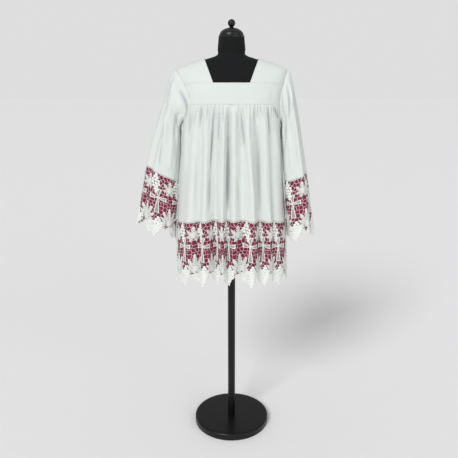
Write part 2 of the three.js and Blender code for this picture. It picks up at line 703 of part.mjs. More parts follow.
const sewn = {
  ...panelPieces(-1, FRONT_FOLDS, {
    panel: "front_panel",
    lace: "hem_lace_front",
    lining: "hem_lining_front",
  }),
  ...panelPieces(1, BACK_FOLDS, {
    panel: "back_panel",
    lace: "hem_lace_back",
    lining: "hem_lining_back",
  }),
  ...sleevePieces(1, "left", LEFT_SLEEVE, LEFT_SLEEVE_FOLDS),
  ...sleevePieces(-1, "right", RIGHT_SLEEVE, RIGHT_SLEEVE_FOLDS),
};
for (const [name, geometry] of Object.entries(sewn)) {
  const finish = name.includes("lace") ? "lace" : name.includes("lining") ? "lining" : "cloth";
  pieces[finish][name] = geometry;
}

const surplice = new THREE.Group();
for (const [finish, group] of Object.entries(pieces)) {
  for (const [name, geometry] of Object.entries(group)) {
    const mesh = new THREE.Mesh(geometry, new THREE.MeshStandardMaterial(FINISHES[finish]));
    mesh.name = name;
    surplice.add(mesh);
  }
}

export default surplice;
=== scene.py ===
"""A surplice on a limbless dress form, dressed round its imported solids.

Each cloth piece is worked out again from the sections, folds and gathers that its solid has, on a
finer grid, with creases, seam allowances, stitches and open lace added. Tables and formulas are in
millimetres, +Z up and the front towards -Y, and meshes are in metres. The wearer's left is +X.
"""

import math

import bpy
import numpy as np
from bpy.props import FloatProperty, FloatVectorProperty, PointerProperty
from bpy.types import Operator, Panel, PropertyGroup
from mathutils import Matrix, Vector


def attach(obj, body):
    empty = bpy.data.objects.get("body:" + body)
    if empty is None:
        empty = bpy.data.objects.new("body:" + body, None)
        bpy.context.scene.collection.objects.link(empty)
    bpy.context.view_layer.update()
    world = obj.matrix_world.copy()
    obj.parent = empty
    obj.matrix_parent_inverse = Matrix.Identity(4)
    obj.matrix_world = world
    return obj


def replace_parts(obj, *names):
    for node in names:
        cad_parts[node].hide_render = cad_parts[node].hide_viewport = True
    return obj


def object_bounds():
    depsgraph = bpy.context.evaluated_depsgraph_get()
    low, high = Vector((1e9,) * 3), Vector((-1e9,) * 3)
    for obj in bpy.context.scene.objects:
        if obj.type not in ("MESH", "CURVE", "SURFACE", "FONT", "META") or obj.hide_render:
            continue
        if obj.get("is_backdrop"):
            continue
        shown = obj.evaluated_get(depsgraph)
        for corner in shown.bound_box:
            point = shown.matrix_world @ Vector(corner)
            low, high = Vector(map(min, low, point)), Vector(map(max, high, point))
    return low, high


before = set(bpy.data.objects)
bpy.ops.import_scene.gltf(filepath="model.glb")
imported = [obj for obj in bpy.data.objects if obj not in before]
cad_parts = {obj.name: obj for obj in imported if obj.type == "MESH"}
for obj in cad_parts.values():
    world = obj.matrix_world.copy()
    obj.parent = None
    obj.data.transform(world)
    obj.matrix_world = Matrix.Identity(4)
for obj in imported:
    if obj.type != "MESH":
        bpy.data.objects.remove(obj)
CAD_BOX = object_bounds()

bl_info = {
    "name": "Surplice",
    "version": (1, 0, 0),
    "blender": (4, 5, 0),
    "location": "3D View > Sidebar > Surplice",
    "description": "A white surplice with lace borders on a dress form",
    "category": "Object",
}

MM = 0.001
TAU = math.tau


# ---- tables ----
class Table:
    """Rows with named columns, the first being the key.

    at() gives every column on a cubic Hermite curve through the rows, whose slope at a row is that
    of the line between its two neighbours.
    """

    def __init__(self, names, *rows):
        self.names = names.split()
        self.rows = np.array(rows, float)

    def __iter__(self):
        return (dict(zip(self.names, row)) for row in self.rows)

    def at(self, value):
        value = np.asarray(value, float)
        keys = self.rows[:, 0]
        i = np.searchsorted(keys[1:-1], value, side="left")
        a, b = self.rows[i], self.rows[i + 1]
        before = self.rows[np.maximum(i - 1, 0)]
        after = self.rows[np.minimum(i + 2, len(keys) - 1)]
        step = (b - a)[..., :1]
        t = (value[..., None] - a[..., :1]) / step
        leave = (b - before) / (b - before)[..., :1] * step
        arrive = (after - a) / (after - a)[..., :1] * step
        found = (
            (2 * t**3 - 3 * t**2 + 1) * a
            + (t**3 - 2 * t**2 + t) * leave
            + (3 * t**2 - 2 * t**3) * b
            + (t**3 - t**2) * arrive
        )
        return dict(zip(self.names, np.moveaxis(found, -1, 0)))


# The worn cloth's outline: half width and reach to the front and the back, and how square it is.
WORN = Table(
    "z wide front back power",
    (650, 237, 166, 160, 2.2),
    (700, 235, 164, 157, 2.2),
    (955, 226, 154, 147, 2.2),
    (1120, 212, 146, 138, 2.25),
    (1240, 203, 138, 130, 2.3),
    (1350, 194, 131, 121, 2.5),
    (1427, 199, 124, 114, 2.6),
    (1467, 204, 118, 111, 2.6),
    (1506, 211, 107, 106, 2.6),
    (1540, 216, 89, 94, 2.5),
    (1558, 214, 76, 82, 2.4),
    (1574, 178, 70, 75, 2.3),
    (1590, 130, 65, 69, 2.2),
    (1602, 90, 61, 64, 2.2),
    (1612, 62, 57, 60, 2.2),
)
UNDERARM = 1350
HEM_SEAM = 955
LACE_DROP = 270
LINING_SHARE = 0.8  # of the lace's drop
HEM_RISE = 28  # how much higher the hem's middle is than its sides
SEAM_GAP = 0.04
CLOTH = 1.2  # how far an edge is turned in
LACE_PROUD = 1.0
HEM_LINING_SUNK = 2.8
CUFF_LINING_SUNK = 2.0
# Shares of a piece's own width or length that are left open at its seams.
SIDE_INSET = 0.0002
CUFF_SPLIT = 0.0003
SHOULDER_ENDS = 0.001
SHOULDER_SIDES = 0.0005
NUDGE = 1e-4  # the small step that a slope is taken over

NECK_CORNER = 69
NECK_SHOULDER = 104.5
BACK_NECK_TAPER = 0.35

ARMHOLE_MIDDLE = 1454
ARMHOLE_TALL = 104
ARMHOLE_FULLER = 0.25
ARMHOLE_DEEP = {(-1, 1): 60, (-1, -1): 90, (1, 1): 62, (1, -1): 62}  # by face and side
ARMHOLE_GAP = 0.02
ARMHOLE_SPREAD = 14
ARMHOLE_FADE = 1.4
PANEL_TOP = 75  # stations round the armhole, in degrees from the underarm
YOKE_TOP = {-1: 120, 1: 140}

GATHERS = 28
GATHER_DEPTH = 3.2
GATHER_LENGTH = 105
GATHER_SEWN = 0.45  # the share of their depth that the seam leaves them
GATHER_OPEN = 18  # how far below the seam they are full
GATHER_FAN = 0.1  # how much they spread by the time they fade
GATHER_POWER = 0.65
GATHER_UNEVEN = {"place": 0.28, "length": 0.5, "depth": 0.4}
SEAM_STEPS = 801
FOLD_START = 0.12  # the share of the fall in which the folds grow
FOLD_SIDES = 0.05  # the share of the width in which they fade at a side
HEM_DEEPER = 1.8
HEM_WIDER = 1.2

FRONT_FOLDS = Table(
    "yoke hem wide deep",
    (-132, -166, 15, 6),
    (-111, -134, 11, -6),
    (-92, -106, 13, 8),
    (-62, -70, 14, -13),
    (-28, -34, 12, 9),
    (-9, -17, 10, -11),
    (12, 9, 13, 7),
    (36, 44, 12, -7),
    (62, 82, 14, 11),
    (97, 120, 13, -11),
    (126, 151, 12, 5),
    (150, 174, 12, -5),
)
BACK_FOLDS = Table(
    "yoke hem wide deep",
    (-150, -172, 16, 5),
    (-120, -138, 13, -8),
    (-88, -104, 14, 8),
    (-52, -66, 13, -10),
    (-22, -30, 13, 8),
    (6, 4, 11, -9),
    (34, 40, 13, 9),
    (66, 80, 13, -10),
    (98, 117, 13, 8),
    (134, 150, 13, -6),
)
RIGHT_SLEEVE = Table(
    "s outX outZ inX inZ deep fore",
    (0, 214, 1558, 194, 1350, 62, 0),
    (1, 238, 1530, 202, 1322, 66, 2),
    (2, 257, 1474, 203, 1288, 66, 6),
    (3, 278, 1408, 204, 1250, 65, 10),
    (4, 304, 1330, 207, 1206, 63, 14),
    (5, 329, 1246, 211, 1158, 59, 18),
    (6, 343, 1187, 214.5, 1122, 55, 20),
    (7, 396, 928, 236, 870, 45, 26),
)
LEFT_SLEEVE = Table(
    "s outX outZ inX inZ deep fore",
    (0, 214, 1558, 194, 1350, 62, 0),
    (1, 236, 1520, 198, 1318, 66, 2),
    (2, 252, 1455, 200.5, 1282, 70, 6),
    (3, 267, 1380, 203.5, 1244, 74, 10),
    (4, 280, 1304, 207, 1204, 77, 14),
    (5, 294, 1223, 211, 1158, 78, 18),
    (6, 304, 1159, 214.5, 1124, 77, 20),
    (7, 344, 896, 236, 874, 72, 26),
)
RIGHT_SLEEVE_FOLDS = Table(
    "at wide deep from to",
    (0.13, 0.035, -9, 0.6, 9),
    (0.2, 0.035, 6, 0.8, 9),
    (0.33, 0.03, -8, 0.2, 3.5),
    (0.43, 0.035, -5, 2, 9),
    (0.63, 0.04, -7, 1, 9),
    (0.8, 0.04, 7, 1, 9),
)
LEFT_SLEEVE_FOLDS = Table(
    "at wide deep from to",
    (0.1, 0.035, -7, 0.4, 9),
    (0.18, 0.03, 6, 0.6, 9),
    (0.27, 0.03, -6, 1.5, 9),
    (0.38, 0.035, 6, 0.5, 9),
    (0.62, 0.04, -7, 1, 9),
    (0.82, 0.04, 7, 1, 9),
)
SLEEVE_GROW = 1.2
SLEEVE_FADE = 1.5
SLEEVE_SEAM = 6
CUFF_EDGE = 7
CUFF_SEAM = 0.004

# Creases listed for the panels: a soft line from (x, z) to (toX, toZ), its half width, and
# how far it stands out, or lies in where it is negative.
FRONT_CREASES = Table(
    "x z toX toZ wide deep",
    (-112, 1421, -120, 1335, 4, -4.5),
    (-65, 1398, -79, 1150, 4.5, -7),
    (-79, 1170, -84, 985, 6, -5),
    (-48, 1402, -55, 1282, 4, -6),
    (-9, 1422, -12, 1276, 4, -4.5),
    (-11, 1310, -15, 985, 3.6, -7),
    (35, 1412, 48, 1255, 4, -7),
    (101, 1354, 112, 985, 5, -5),
    (137, 1420, 152, 1305, 4.5, -6),
    (160, 1416, 188, 1366, 5, -6),
    (66, 1402, 76, 1290, 4, -3.5),
    (84, 1416, 92, 1352, 4, -3),
    (-150, 1394, -172, 1300, 6, -4),
    (-134, 1412, -146, 1345, 4, -4),
    (20, 1408, 26, 1330, 4, -3),
    (-88, 1416, -92, 1366, 3.5, -3.5),
    (-30, 1416, -34, 1350, 3.5, -3),
    (116, 1418, 126, 1360, 3.5, -3.5),
    (-99, 1418, -106, 1290, 6, 2.5),
    (-30, 1350, -31, 1240, 6, 2.5),
    (6, 1422, 8, 1232, 9, 3.5),
    (54, 1392, 90, 985, 7, 3.5),
    (-96, 1250, -102, 985, 7, 2.5),
    (124, 1380, 134, 1180, 6, 2.2),
    (-176, 1330, -184, 1160, 8, 2.4),
    (-52, 1200, -48, 985, 7, 2.2),
    (26, 1150, 34, 975, 8, -2.4),
    (140, 1210, 152, 985, 8, -2.4),
    (170, 1330, 190, 1190, 8, 2.2),
    (-134, 1230, -142, 985, 7, -2.6),
)
BACK_CREASES = Table(
    "x z toX toZ wide deep",
    (-136, 1414, -150, 1290, 4.5, -4.6),
    (-104, 1396, -112, 1260, 6, 2.4),
    (-70, 1412, -80, 1300, 4, -4.2),
    (-52, 1330, -64, 985, 5, -6),
    (-36, 1402, -42, 1220, 6, 2.6),
    (-8, 1416, -8, 1322, 4, -3.8),
    (6, 1320, 4, 985, 4.5, -6.5),
    (20, 1396, 24, 1240, 7, 2.8),
    (50, 1412, 58, 1306, 4, -4.4),
    (66, 1330, 80, 985, 5, -5.5),
    (82, 1390, 92, 1236, 6, 2.2),
    (116, 1416, 128, 1292, 4.5, -4.8),
    (160, 1360, 176, 1180, 8, 2.4),
    (-174, 1320, -184, 1150, 7, -2.6),
    (-84, 1170, -88, 980, 8, 2.2),
    (-24, 1416, -28, 1362, 3.5, -3),
    (96, 1414, 104, 1356, 3.5, -3.2),
    (134, 1190, 138, 985, 6, -3.5),
    (-122, 1240, -134, 1000, 6, -3.2),
)
# The same on the sleeves and yokes, in shares of the round and in sections or heights.
RIGHT_SLEEVE_CREASES = Table(
    "at s toAt toS wide deep",
    (0.095, 0.6, 0.1, 2.5, 6, -4.5),
    (0.1, 2.2, 0.2, 3.9, 6, -4.5),
    (0.2, 3.6, 0.235, 5.8, 6, -4),
    (0.135, 0.7, 0.14, 2.4, 7, 3),
    (0.14, 2.2, 0.24, 4.0, 7, 3),
    (0.19, 0.74, 0.4, 0.2, 5, -7),
    (0.2, 1.05, 0.42, 0.78, 7, 4.5),
    (0.3, 1.2, 0.43, 1.5, 6, -3),
    (0.33, 1.6, 0.38, 4.4, 7, -2.6),
    (0.3, 3.0, 0.33, 5.8, 7, 2.2),
    (0.17, 3.2, 0.15, 5.6, 7, -2.8),
    (0.05, 1.2, 0.04, 4.0, 8, -2.8),
    (0.46, 1.0, 0.42, 2.4, 6, -2.8),
    (0.56, 0.4, 0.58, 3.0, 7, 2.8),
    (0.69, 0.4, 0.72, 4.2, 6, -4.2),
    (0.62, 0.3, 0.56, 1.4, 5, -4.4),
    (0.76, 2.6, 0.77, 5.6, 8, 2.4),
    (0.88, 0.5, 0.9, 3.4, 7, -3.6),
    (0.95, 2.4, 0.97, 5.4, 8, 2.4),
)
LEFT_SLEEVE_CREASES = Table(
    "at s toAt toS wide deep",
    (0.16, 0.5, 0.285, 1.8, 5.5, -6),
    (0.13, 0.9, 0.24, 2.0, 7, 3.4),
    (0.32, 0.6, 0.39, 3.8, 5.5, -5),
    (0.22, 0.3, 0.36, 0.7, 5, -4),
    (0.12, 1.2, 0.13, 4.4, 7, -3.2),
    (0.21, 2.4, 0.22, 5.8, 7, -2.8),
    (0.3, 2.6, 0.31, 5.6, 8, 2.6),
    (0.05, 1.4, 0.04, 4.6, 8, -2.8),
    (0.45, 1.2, 0.44, 4.0, 7, -2.6),
    (0.56, 0.5, 0.58, 3.2, 7, 2.8),
    (0.66, 0.4, 0.7, 4.4, 6, -4.2),
    (0.76, 2.2, 0.75, 5.6, 8, -2.6),
    (0.88, 0.6, 0.87, 3.8, 8, 2.6),
    (0.82, 0.5, 0.84, 2.8, 6, -3.8),
    (0.95, 2.0, 0.94, 5.4, 8, -2.4),
)
YOKE_CREASES = {
    -1: Table(
        "x z toX toZ wide deep",
        (-160, 1500, -150, 1440, 7, -2.0),
        (-176, 1492, -172, 1445, 6, 1.8),
        (150, 1502, 156, 1438, 7, -1.8),
        (172, 1490, 176, 1446, 6, 1.6),
        (-60, 1496, -20, 1490, 6, 0.8),
        (40, 1440, 92, 1446, 7, -0.8),
    ),
    1: Table(
        "x z toX toZ wide deep",
        (-158, 1520, -150, 1440, 8, -1.8),
        (150, 1524, 158, 1444, 8, -1.8),
        (-40, 1500, 30, 1506, 7, 0.9),
        (30, 1446, 96, 1452, 7, -0.9),
        (176, 1500, 172, 1450, 6, 1.5),
        (-178, 1498, -174, 1446, 6, 1.5),
    ),
}

# ---- the form ----
REST = 3.2  # how far the form lies inside the worn outline above the chest, and twice that beside it
CHEST = 1450
NECK_TOP = 1672
TORSO_FOOT = 880
SEAT_GAP = 0.3  # between the form's own pieces
FORM = Table(
    "z wide front back power",
    (880, 160, 100, 104, 2.3),
    (985, 172, 112, 116, 2.3),
    (1180, 148, 98, 94, 2.3),
    (1350, 174, 110, 102, 2.4),
    (1420, 187, 117, 107, 2.5),
    *(
        (z - REST, wide - 2 * REST, front - REST, back - REST, power)
        for z, wide, front, back, power in WORN.rows
        if z > CHEST
    ),
    (1630, 54, 52, 53, 2.1),
    (1672, 50, 50, 50, 2),
)


# ---- small tools ----
def ramp(t):
    """0 below 0, 1 above 1, and 3t^2 - 2t^3 between."""
    t = np.clip(t, 0, 1)
    return t * t * (3 - 2 * t)


def lerp(a, b, t):
    return a + (b - a) * t


def unit(vectors):
    return vectors / np.maximum(np.linalg.norm(vectors, axis=-1, keepdims=True), 1e-12)


def level_normal(along):
    """The unit normal, without slope, of a surface whose rows run along these steps."""
    return unit(np.stack([along[..., 1], -along[..., 0], 0 * along[..., 0]], -1))


def run_of(path):
    """The distance along a row of points, from its first one."""
    return np.concatenate([[0], np.cumsum(np.linalg.norm(np.diff(path, axis=0), axis=-1))])


def on_section(section, angle):
    """A point of a level superellipse. The angle runs from +X through the back."""
    c, s = np.cos(angle), np.sin(angle)
    bend = 2 / section["power"]
    reach = np.where(s < 0, section["front"], section["back"])
    return np.stack(
        np.broadcast_arrays(
            section["wide"] * np.sign(c) * np.abs(c) ** bend,
            reach * np.sign(s) * np.abs(s) ** bend,
            section["z"],
        ),
        -1,
    )


def facing(section, face):
    return section["front"] if face < 0 else section["back"]


# ---- armhole ----
def armhole_height(station):
    return ARMHOLE_MIDDLE - ARMHOLE_TALL * np.cos(np.radians(station))


def armhole_angle(z, face, side):
    """The armhole's edge as an angle of the level section: an oval seen from the side, deep times
    the root of 1 - rise^2, a little fuller below its middle."""
    rise = np.clip((z - ARMHOLE_MIDDLE) / ARMHOLE_TALL, -1, 1)
    reach = ARMHOLE_DEEP[face, side] * np.sqrt(1 - rise**2) * (1 - ARMHOLE_FULLER * rise)
    section = WORN.at(z)
    return np.arcsin((reach / facing(section, face)) ** (section["power"] / 2))


def armhole_point(station, face, side):
    z = armhole_height(station)
    return on_section(WORN.at(z), face * armhole_angle(z, face, side))


# ---- surfaces ----
def across_body(u, level, face, lift=0.0):
    """The worn outline at a height, from one armhole (u = 0) to the other (u = 1)."""
    start, first = (math.pi, -1) if face < 0 else (0.0, 1)
    begin = armhole_angle(level, face, first)
    end = math.pi - armhole_angle(level, face, -first)
    return on_section(WORN.at(level + lift), start + begin + u * (end - begin))


SHARP = 1.3  # the power of a trough's section
CRUMPLES = {"count": 14, "short": 26, "long": 110, "turn": 0.6}


def creased(x, z, creases, strength):
    """The height that soft lines give: each is exp(-(distance / wide)^2) across, or with a sharper
    power in a trough, and sin(pi t)^0.6 along, so that it grows and fades between its two ends."""
    height = np.zeros(np.broadcast(x, z).shape)
    for c in creases:
        ax, az, bx, bz, wide, deep = c.values()
        length2 = (bx - ax) ** 2 + (bz - az) ** 2
        t = np.clip(((x - ax) * (bx - ax) + (z - az) * (bz - az)) / length2, 0, 1)
        away = np.hypot(x - lerp(ax, bx, t), z - lerp(az, bz, t))
        sharp = SHARP if deep < 0 else 2
        height += deep * np.exp(-((away / wide) ** sharp)) * np.sin(math.pi * t) ** 0.6
    return strength * height


def crumple(x, z, seed, amount):
    """Small unevenness of the cloth: sine waves in seeded directions, the long ones higher."""
    draw = np.random.default_rng(seed)
    total = np.zeros(np.broadcast(x, z).shape)
    for _ in range(CRUMPLES["count"]):
        length = draw.uniform(CRUMPLES["short"], CRUMPLES["long"])
        turn = draw.normal(0, CRUMPLES["turn"])
        phase = draw.uniform(0, TAU)
        wave = np.sin(TAU * (x * math.cos(turn) + z * math.sin(turn)) / length + phase)
        total += wave * length / CRUMPLES["long"]
    return amount * total / 3


def wander(t, seed, waves=7):
    """A smooth unevenness from -1 to 1 along t from 0 to 1: sines of 2 to 13 waves, seeded."""
    draw = np.random.default_rng(seed)
    total = sum(np.sin(TAU * (draw.uniform(2, 13) * t + draw.uniform())) for _ in range(waves))
    return total / waves**0.5 / 1.6


def gathers_at(level, x, face):
    """Gathers below the yoke seam: round ridges and narrow valleys, |cos(pi n t)| to a low power, where
    t is the place on the seam that the cloth hangs from. Their depth and length are uneven."""
    top = armhole_height(PANEL_TOP)
    seam_u = np.linspace(0, 1, SEAM_STEPS)
    seam_x = across_body(seam_u, np.full(SEAM_STEPS, top), face)[:, 0] * -face
    below = (top - level) / GATHER_LENGTH
    t = np.interp(x * -face / (1 + GATHER_FAN * np.clip(below, 0, 2)), seam_x, seam_u)
    phase = GATHERS * t + GATHER_UNEVEN["place"] * wander(t, 3 + face)
    pinch = 2 * np.abs(np.cos(math.pi * phase)) ** GATHER_POWER - 1
    length = 1 + GATHER_UNEVEN["length"] * wander(t, 13 + face)
    fade = 1 - ramp(below / length)
    sewn = lerp(GATHER_SEWN, 1, ramp((top - level) / GATHER_OPEN))
    depth = GATHER_DEPTH * (1 + GATHER_UNEVEN["depth"] * wander(t, 23 + face))
    return depth * fade * sewn * pinch


def panel_fold(u, level, x, face):
    """How far a panel stands out from the plain outline: its long folds, each
    deep exp(-((x - middle) / wide)^2) and deeper and wider towards the hem, and its gathers."""
    folds = FRONT_FOLDS if face < 0 else BACK_FOLDS
    top = armhole_height(PANEL_TOP)
    fall = np.clip((top - level) / (top - HEM_SEAM), 0, 1)
    depth = np.zeros(np.broadcast(u, level).shape)
    for fold in folds:
        middle = lerp(fold["yoke"], fold["hem"], fall)
        wide = fold["wide"] * lerp(1, HEM_WIDER, fall)
        depth += fold["deep"] * np.exp(-(((x - middle) / wide) ** 2))
    grown = ramp(fall / FOLD_START) * lerp(1, HEM_DEEPER, ramp(fall))
    sides = ramp(u / FOLD_SIDES) * ramp((1 - u) / FOLD_SIDES)
    return sides * (depth * grown + gathers_at(level, x, face))


def panel_surface(u, level, face):
    """A panel without its creases: the worn outline, lifted at the middle of the hem, and moved out
    level along its own normal by its folds."""

    def plain(u):
        fall = ramp((UNDERARM - level) / (UNDERARM - HEM_SEAM))
        lift = HEM_RISE * fall * np.sin(math.pi * np.clip(u, 0, 1)) ** 2
        return across_body(u, level, face, lift)

    base = plain(u)
    away = level_normal(plain(u + NUDGE) - plain(u - NUDGE))
    return base + away * panel_fold(u, level, base[..., 0], face)[..., None]


def panel_border(u, down, face):
    """The lace border below a panel: straight lines from the hem seam to the tips' level."""
    top = panel_surface(u, np.full_like(u, HEM_SEAM), face)
    foot = panel_surface(u, np.full_like(u, HEM_SEAM - LACE_DROP), face)
    return lerp(top, foot, (down / LACE_DROP)[..., None])


# The shoulders' ridge: the half width of the worn outline against its height.
RIDGE_Z = np.linspace(1555, 1611, 2000)
RIDGE_X = WORN.at(RIDGE_Z)["wide"]


def shoulder_surface(u, v, side):
    """A shoulder piece, from the armhole (u = 0) to the neckline (u = 1), and from the front yoke
    (v = 0) over the ridge (v = 1) to the back yoke (v = 2), on the +X side."""
    tip = armhole_point(180.0, -1, 1)[0]
    parts = []
    for face, way in ((-1, v), (1, 2 - v)):
        way = np.clip(way, 0, 1)
        station = YOKE_TOP[face]
        turn = lerp(station, 180, way)
        foot = armhole_height(station)
        climb = (armhole_height(turn) - foot) / (ARMHOLE_MIDDLE + ARMHOLE_TALL - foot)
        taper = 0 if face < 0 else BACK_NECK_TAPER
        neck_x = lerp(lerp(NECK_CORNER, NECK_SHOULDER, taper), NECK_SHOULDER, climb)
        arm_x = armhole_point(turn, face, side)[..., 0]
        ridge = np.interp(lerp(tip, NECK_SHOULDER, u), RIDGE_X[::-1], RIDGE_Z[::-1])
        z = foot + (ridge - foot) * climb
        x = lerp(arm_x, neck_x, u)
        section = WORN.at(z)
        share = np.minimum(x / section["wide"], 1) ** section["power"]
        y = face * facing(section, face) * (1 - share) ** (1 / section["power"])
        parts.append(np.stack([x, y, z], -1))
    return np.where((v < 1)[..., None], *parts)


def sleeve_surface(u, s, side):
    """A sleeve: u goes round from the outer edge and s down its sections. Each is an oval between an
    inner and an outer point, blended from the armhole's own shape near the seam."""
    table = LEFT_SLEEVE if side > 0 else RIGHT_SLEEVE
    folds = LEFT_SLEEVE_FOLDS if side > 0 else RIGHT_SLEEVE_FOLDS

    def plain(u, s):
        row = table.at(s)
        outer = (1 + np.cos(TAU * u)) / 2
        back = np.sin(TAU * u) * side
        oval = np.stack(
            [
                lerp(row["inX"], row["outX"], outer),
                back * row["deep"] - row["fore"],
                lerp(row["inZ"], row["outZ"], outer),
            ],
            -1,
        )
        station = 180 - np.degrees(np.arccos(np.clip(2 * outer - 1, -1, 1)))
        front = armhole_point(station, -1, side)
        rear = armhole_point(station, 1, side)
        seam = np.where((back < 0)[..., None], front, rear)
        seam[..., 0] += ARMHOLE_GAP + ARMHOLE_SPREAD * s
        placed = lerp(seam, oval, ramp(s / ARMHOLE_FADE)[..., None])
        return placed * [side, 1, 1]

    base = plain(u, s)
    round_it = plain(u + NUDGE, s) - plain(u - NUDGE, s)
    along = plain(u, s + 10 * NUDGE) - plain(u, s - 10 * NUDGE)
    away = unit(np.cross(along, round_it))
    place = 1 - u if side > 0 else u
    depth = np.zeros(np.shape(u))
    for fold in folds:
        off = (place - fold["at"]) % 1
        off = np.minimum(off, 1 - off)
        held = ramp((s - fold["from"]) / SLEEVE_GROW) * ramp((fold["to"] - s) / SLEEVE_FADE)
        depth += fold["deep"] * held * np.exp(-((off / fold["wide"]) ** 2))
    return base + away * depth[..., None]


def cuff_border(u, down, side):
    """The lace border below a sleeve."""
    top = sleeve_surface(u, np.full_like(u, SLEEVE_SEAM), side)
    foot = sleeve_surface(u, np.full_like(u, CUFF_EDGE), side)
    return lerp(top, foot, (down / LACE_DROP)[..., None])


# ---- meshes ----
def outward(points, closed=False):
    """Unit normals of a grid of points: the step down crossed with the step along."""
    along = np.gradient(points, axis=1)
    if closed:
        along = (np.roll(points, -1, 1) - np.roll(points, 1, 1)) / 2
    return unit(np.cross(np.gradient(points, axis=0), along))


def level_outward(points):
    """The same without the slope, for a grid whose columns run askew."""
    return level_normal(np.gradient(points, axis=1))


def eased(start, end, count, close=0.75):
    """Steps from start to end that are closer together at both ends."""
    t = np.linspace(0, 1, count)
    return lerp(start, end, t - close * np.sin(TAU * t) / TAU)


STITCH = {"long": 2.5, "pitch": 3.6, "wide": 0.8, "proud": 0.55}
STITCH_MARK = -0.6  # stitches are lighter than the cloth, in the ridges' painted highlight colour
SEWN_IN = 4.2  # how far from the edge the stitches run
OCTAHEDRON = [(0, 2, 1), (0, 3, 2), (0, 4, 3), (0, 1, 4), (5, 1, 2), (5, 2, 3), (5, 3, 4), (5, 4, 1)]


def stitched(points, normals, lines):
    """Stitches along lines of a grid: each is a stretched octahedron that stands proud of the cloth.
    A line is an axis and a place along it, in rows or columns."""
    corners = []
    for axis, place in lines:
        low = int(place)
        path, out = (
            lerp(np.take(grid, low, axis), np.take(grid, low + 1, axis), place - low)
            for grid in (points, normals)
        )
        length = run_of(path)
        count = int(length[-1] / STITCH["pitch"])
        middle = (np.arange(count) + 0.5) * length[-1] / count

        def at(values, where):
            return np.stack([np.interp(where, length, values[:, k]) for k in range(3)], -1)

        centre = at(path, middle)
        ahead = unit(at(path, middle + 0.5) - at(path, middle - 0.5))
        up = unit(at(out, middle))
        side = np.cross(ahead, up) * STITCH["wide"] / 2
        ahead, up = ahead * STITCH["long"] / 2, up * STITCH["proud"]
        ring = [centre + ahead, centre + side, centre + up, centre - side, centre - up, centre - ahead]
        corners.append(np.stack(ring, 1).reshape(-1, 3))
    corners = np.concatenate(corners)
    first = np.arange(0, len(corners), 6)[:, None, None]
    return corners, (first + np.array(OCTAHEDRON)).reshape(-1, 3)


def put_mesh(node, ending, points, faces, material, slot, uv=None, uv_faces=None, marks=None):
    """A piece that takes a node's place, from points in millimetres and faces as arrays, one for
    each number of corners. uv is in metres, and uv_faces are its corners where they differ from the
    faces' own. marks are point attributes."""
    mesh = bpy.data.meshes.new(node + ending)
    faces = [f for f in faces if len(f)]
    corners = np.concatenate([f.ravel() for f in faces])
    sizes = np.concatenate([np.full(len(f), f.shape[1]) for f in faces])
    mesh.vertices.add(len(points))
    mesh.vertices.foreach_set("co", (np.asarray(points) * MM).astype(np.float32).ravel())
    mesh.loops.add(len(corners))
    mesh.loops.foreach_set("vertex_index", corners.astype(np.int32))
    mesh.polygons.add(len(sizes))
    mesh.polygons.foreach_set("loop_start", (np.cumsum(sizes) - sizes).astype(np.int32))
    mesh.update(calc_edges=True)
    mesh.shade_smooth()
    if uv is not None:
        layer = mesh.uv_layers.new(name="Cloth")
        at = corners if uv_faces is None else np.concatenate([f.ravel() for f in uv_faces])
        layer.data.foreach_set("uv", uv[at].astype(np.float32).ravel())
    for label, values in (marks or {}).items():
        mark = mesh.attributes.new(label, "FLOAT", "POINT")
        mark.data.foreach_set("value", values.astype(np.float32))
    mesh.materials.append(material)
    piece = bpy.data.objects.new(node + ending, mesh)
    bpy.context.scene.collection.objects.link(piece)
    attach(piece, "root")
    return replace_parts(piece, node)


def grid_faces(rows, columns, closed=False):
    """Quads of a grid, turned so that the normal is the step down crossed with the step along."""
    width = columns if closed else columns - 1
    r, c = np.meshgrid(np.arange(rows - 1), np.arange(width), indexing="ij")
    right = (c + 1) % columns
    quads = [r * columns + c, (r + 1) * columns + c, (r + 1) * columns + right, r * columns + right]
    return np.stack(quads, -1).reshape(-1, 4)


def cloth_uv(points, closed=False):
    """Places on the cloth in metres: mean distance along the rows, and down the columns."""
    if closed:
        points = np.concatenate([points, points[:, :1]], 1)
    along = np.linalg.norm(np.diff(points, axis=1), axis=-1).mean(0)
    down = np.linalg.norm(np.diff(points, axis=0), axis=-1).mean(1)
    u = np.concatenate([[0], np.cumsum(along)])
    v = -np.concatenate([[0], np.cumsum(down)])
    return np.stack(np.broadcast_arrays(u[None, :], v[:, None]), -1).reshape(-1, 2) * MM


def put_cloth(node, points, material, slot, depth=CLOTH, closed=False, normals=None, sewn=(), marks=0.0):
    """A piece of cloth from a grid of points, closed where it goes all the way round. Each edge gets
    one more row or column, turned in by the cloth's depth, and sewn are its lines of stitches. marks
    is 1 where the creases get painted shade, and negative where the ridges get a painted highlight."""
    normals = outward(points, closed) if normals is None else normals
    edges = ((1, 1), (0, 0) if closed else (1, 1))
    grid = np.pad(points - normals * depth, (*edges, (0, 0)), mode="edge")
    grid[1:-1, slice(None) if closed else slice(1, -1)] = points
    marks = np.pad(np.broadcast_to(marks, points.shape[:2]), edges, mode="edge").ravel()
    rows, columns = grid.shape[:2]
    faces = [grid_faces(rows, columns, closed)]
    uv_faces = [grid_faces(rows, columns + 1) if closed else faces[0]]
    uv = cloth_uv(grid, closed)
    grid = grid.reshape(-1, 3)
    if sewn:
        corners, threads = stitched(points, normals, sewn)
        faces.append(threads + len(grid))
        uv_faces.append(threads + len(uv))
        grid = np.concatenate([grid, corners])
        uv = np.concatenate([uv, corners[:, [0, 2]] * MM])
        marks = np.concatenate([marks, np.full(len(corners), STITCH_MARK)])
    return put_mesh(node, "_sewn", grid, faces, material, slot, uv, uv_faces, {"crease": marks})


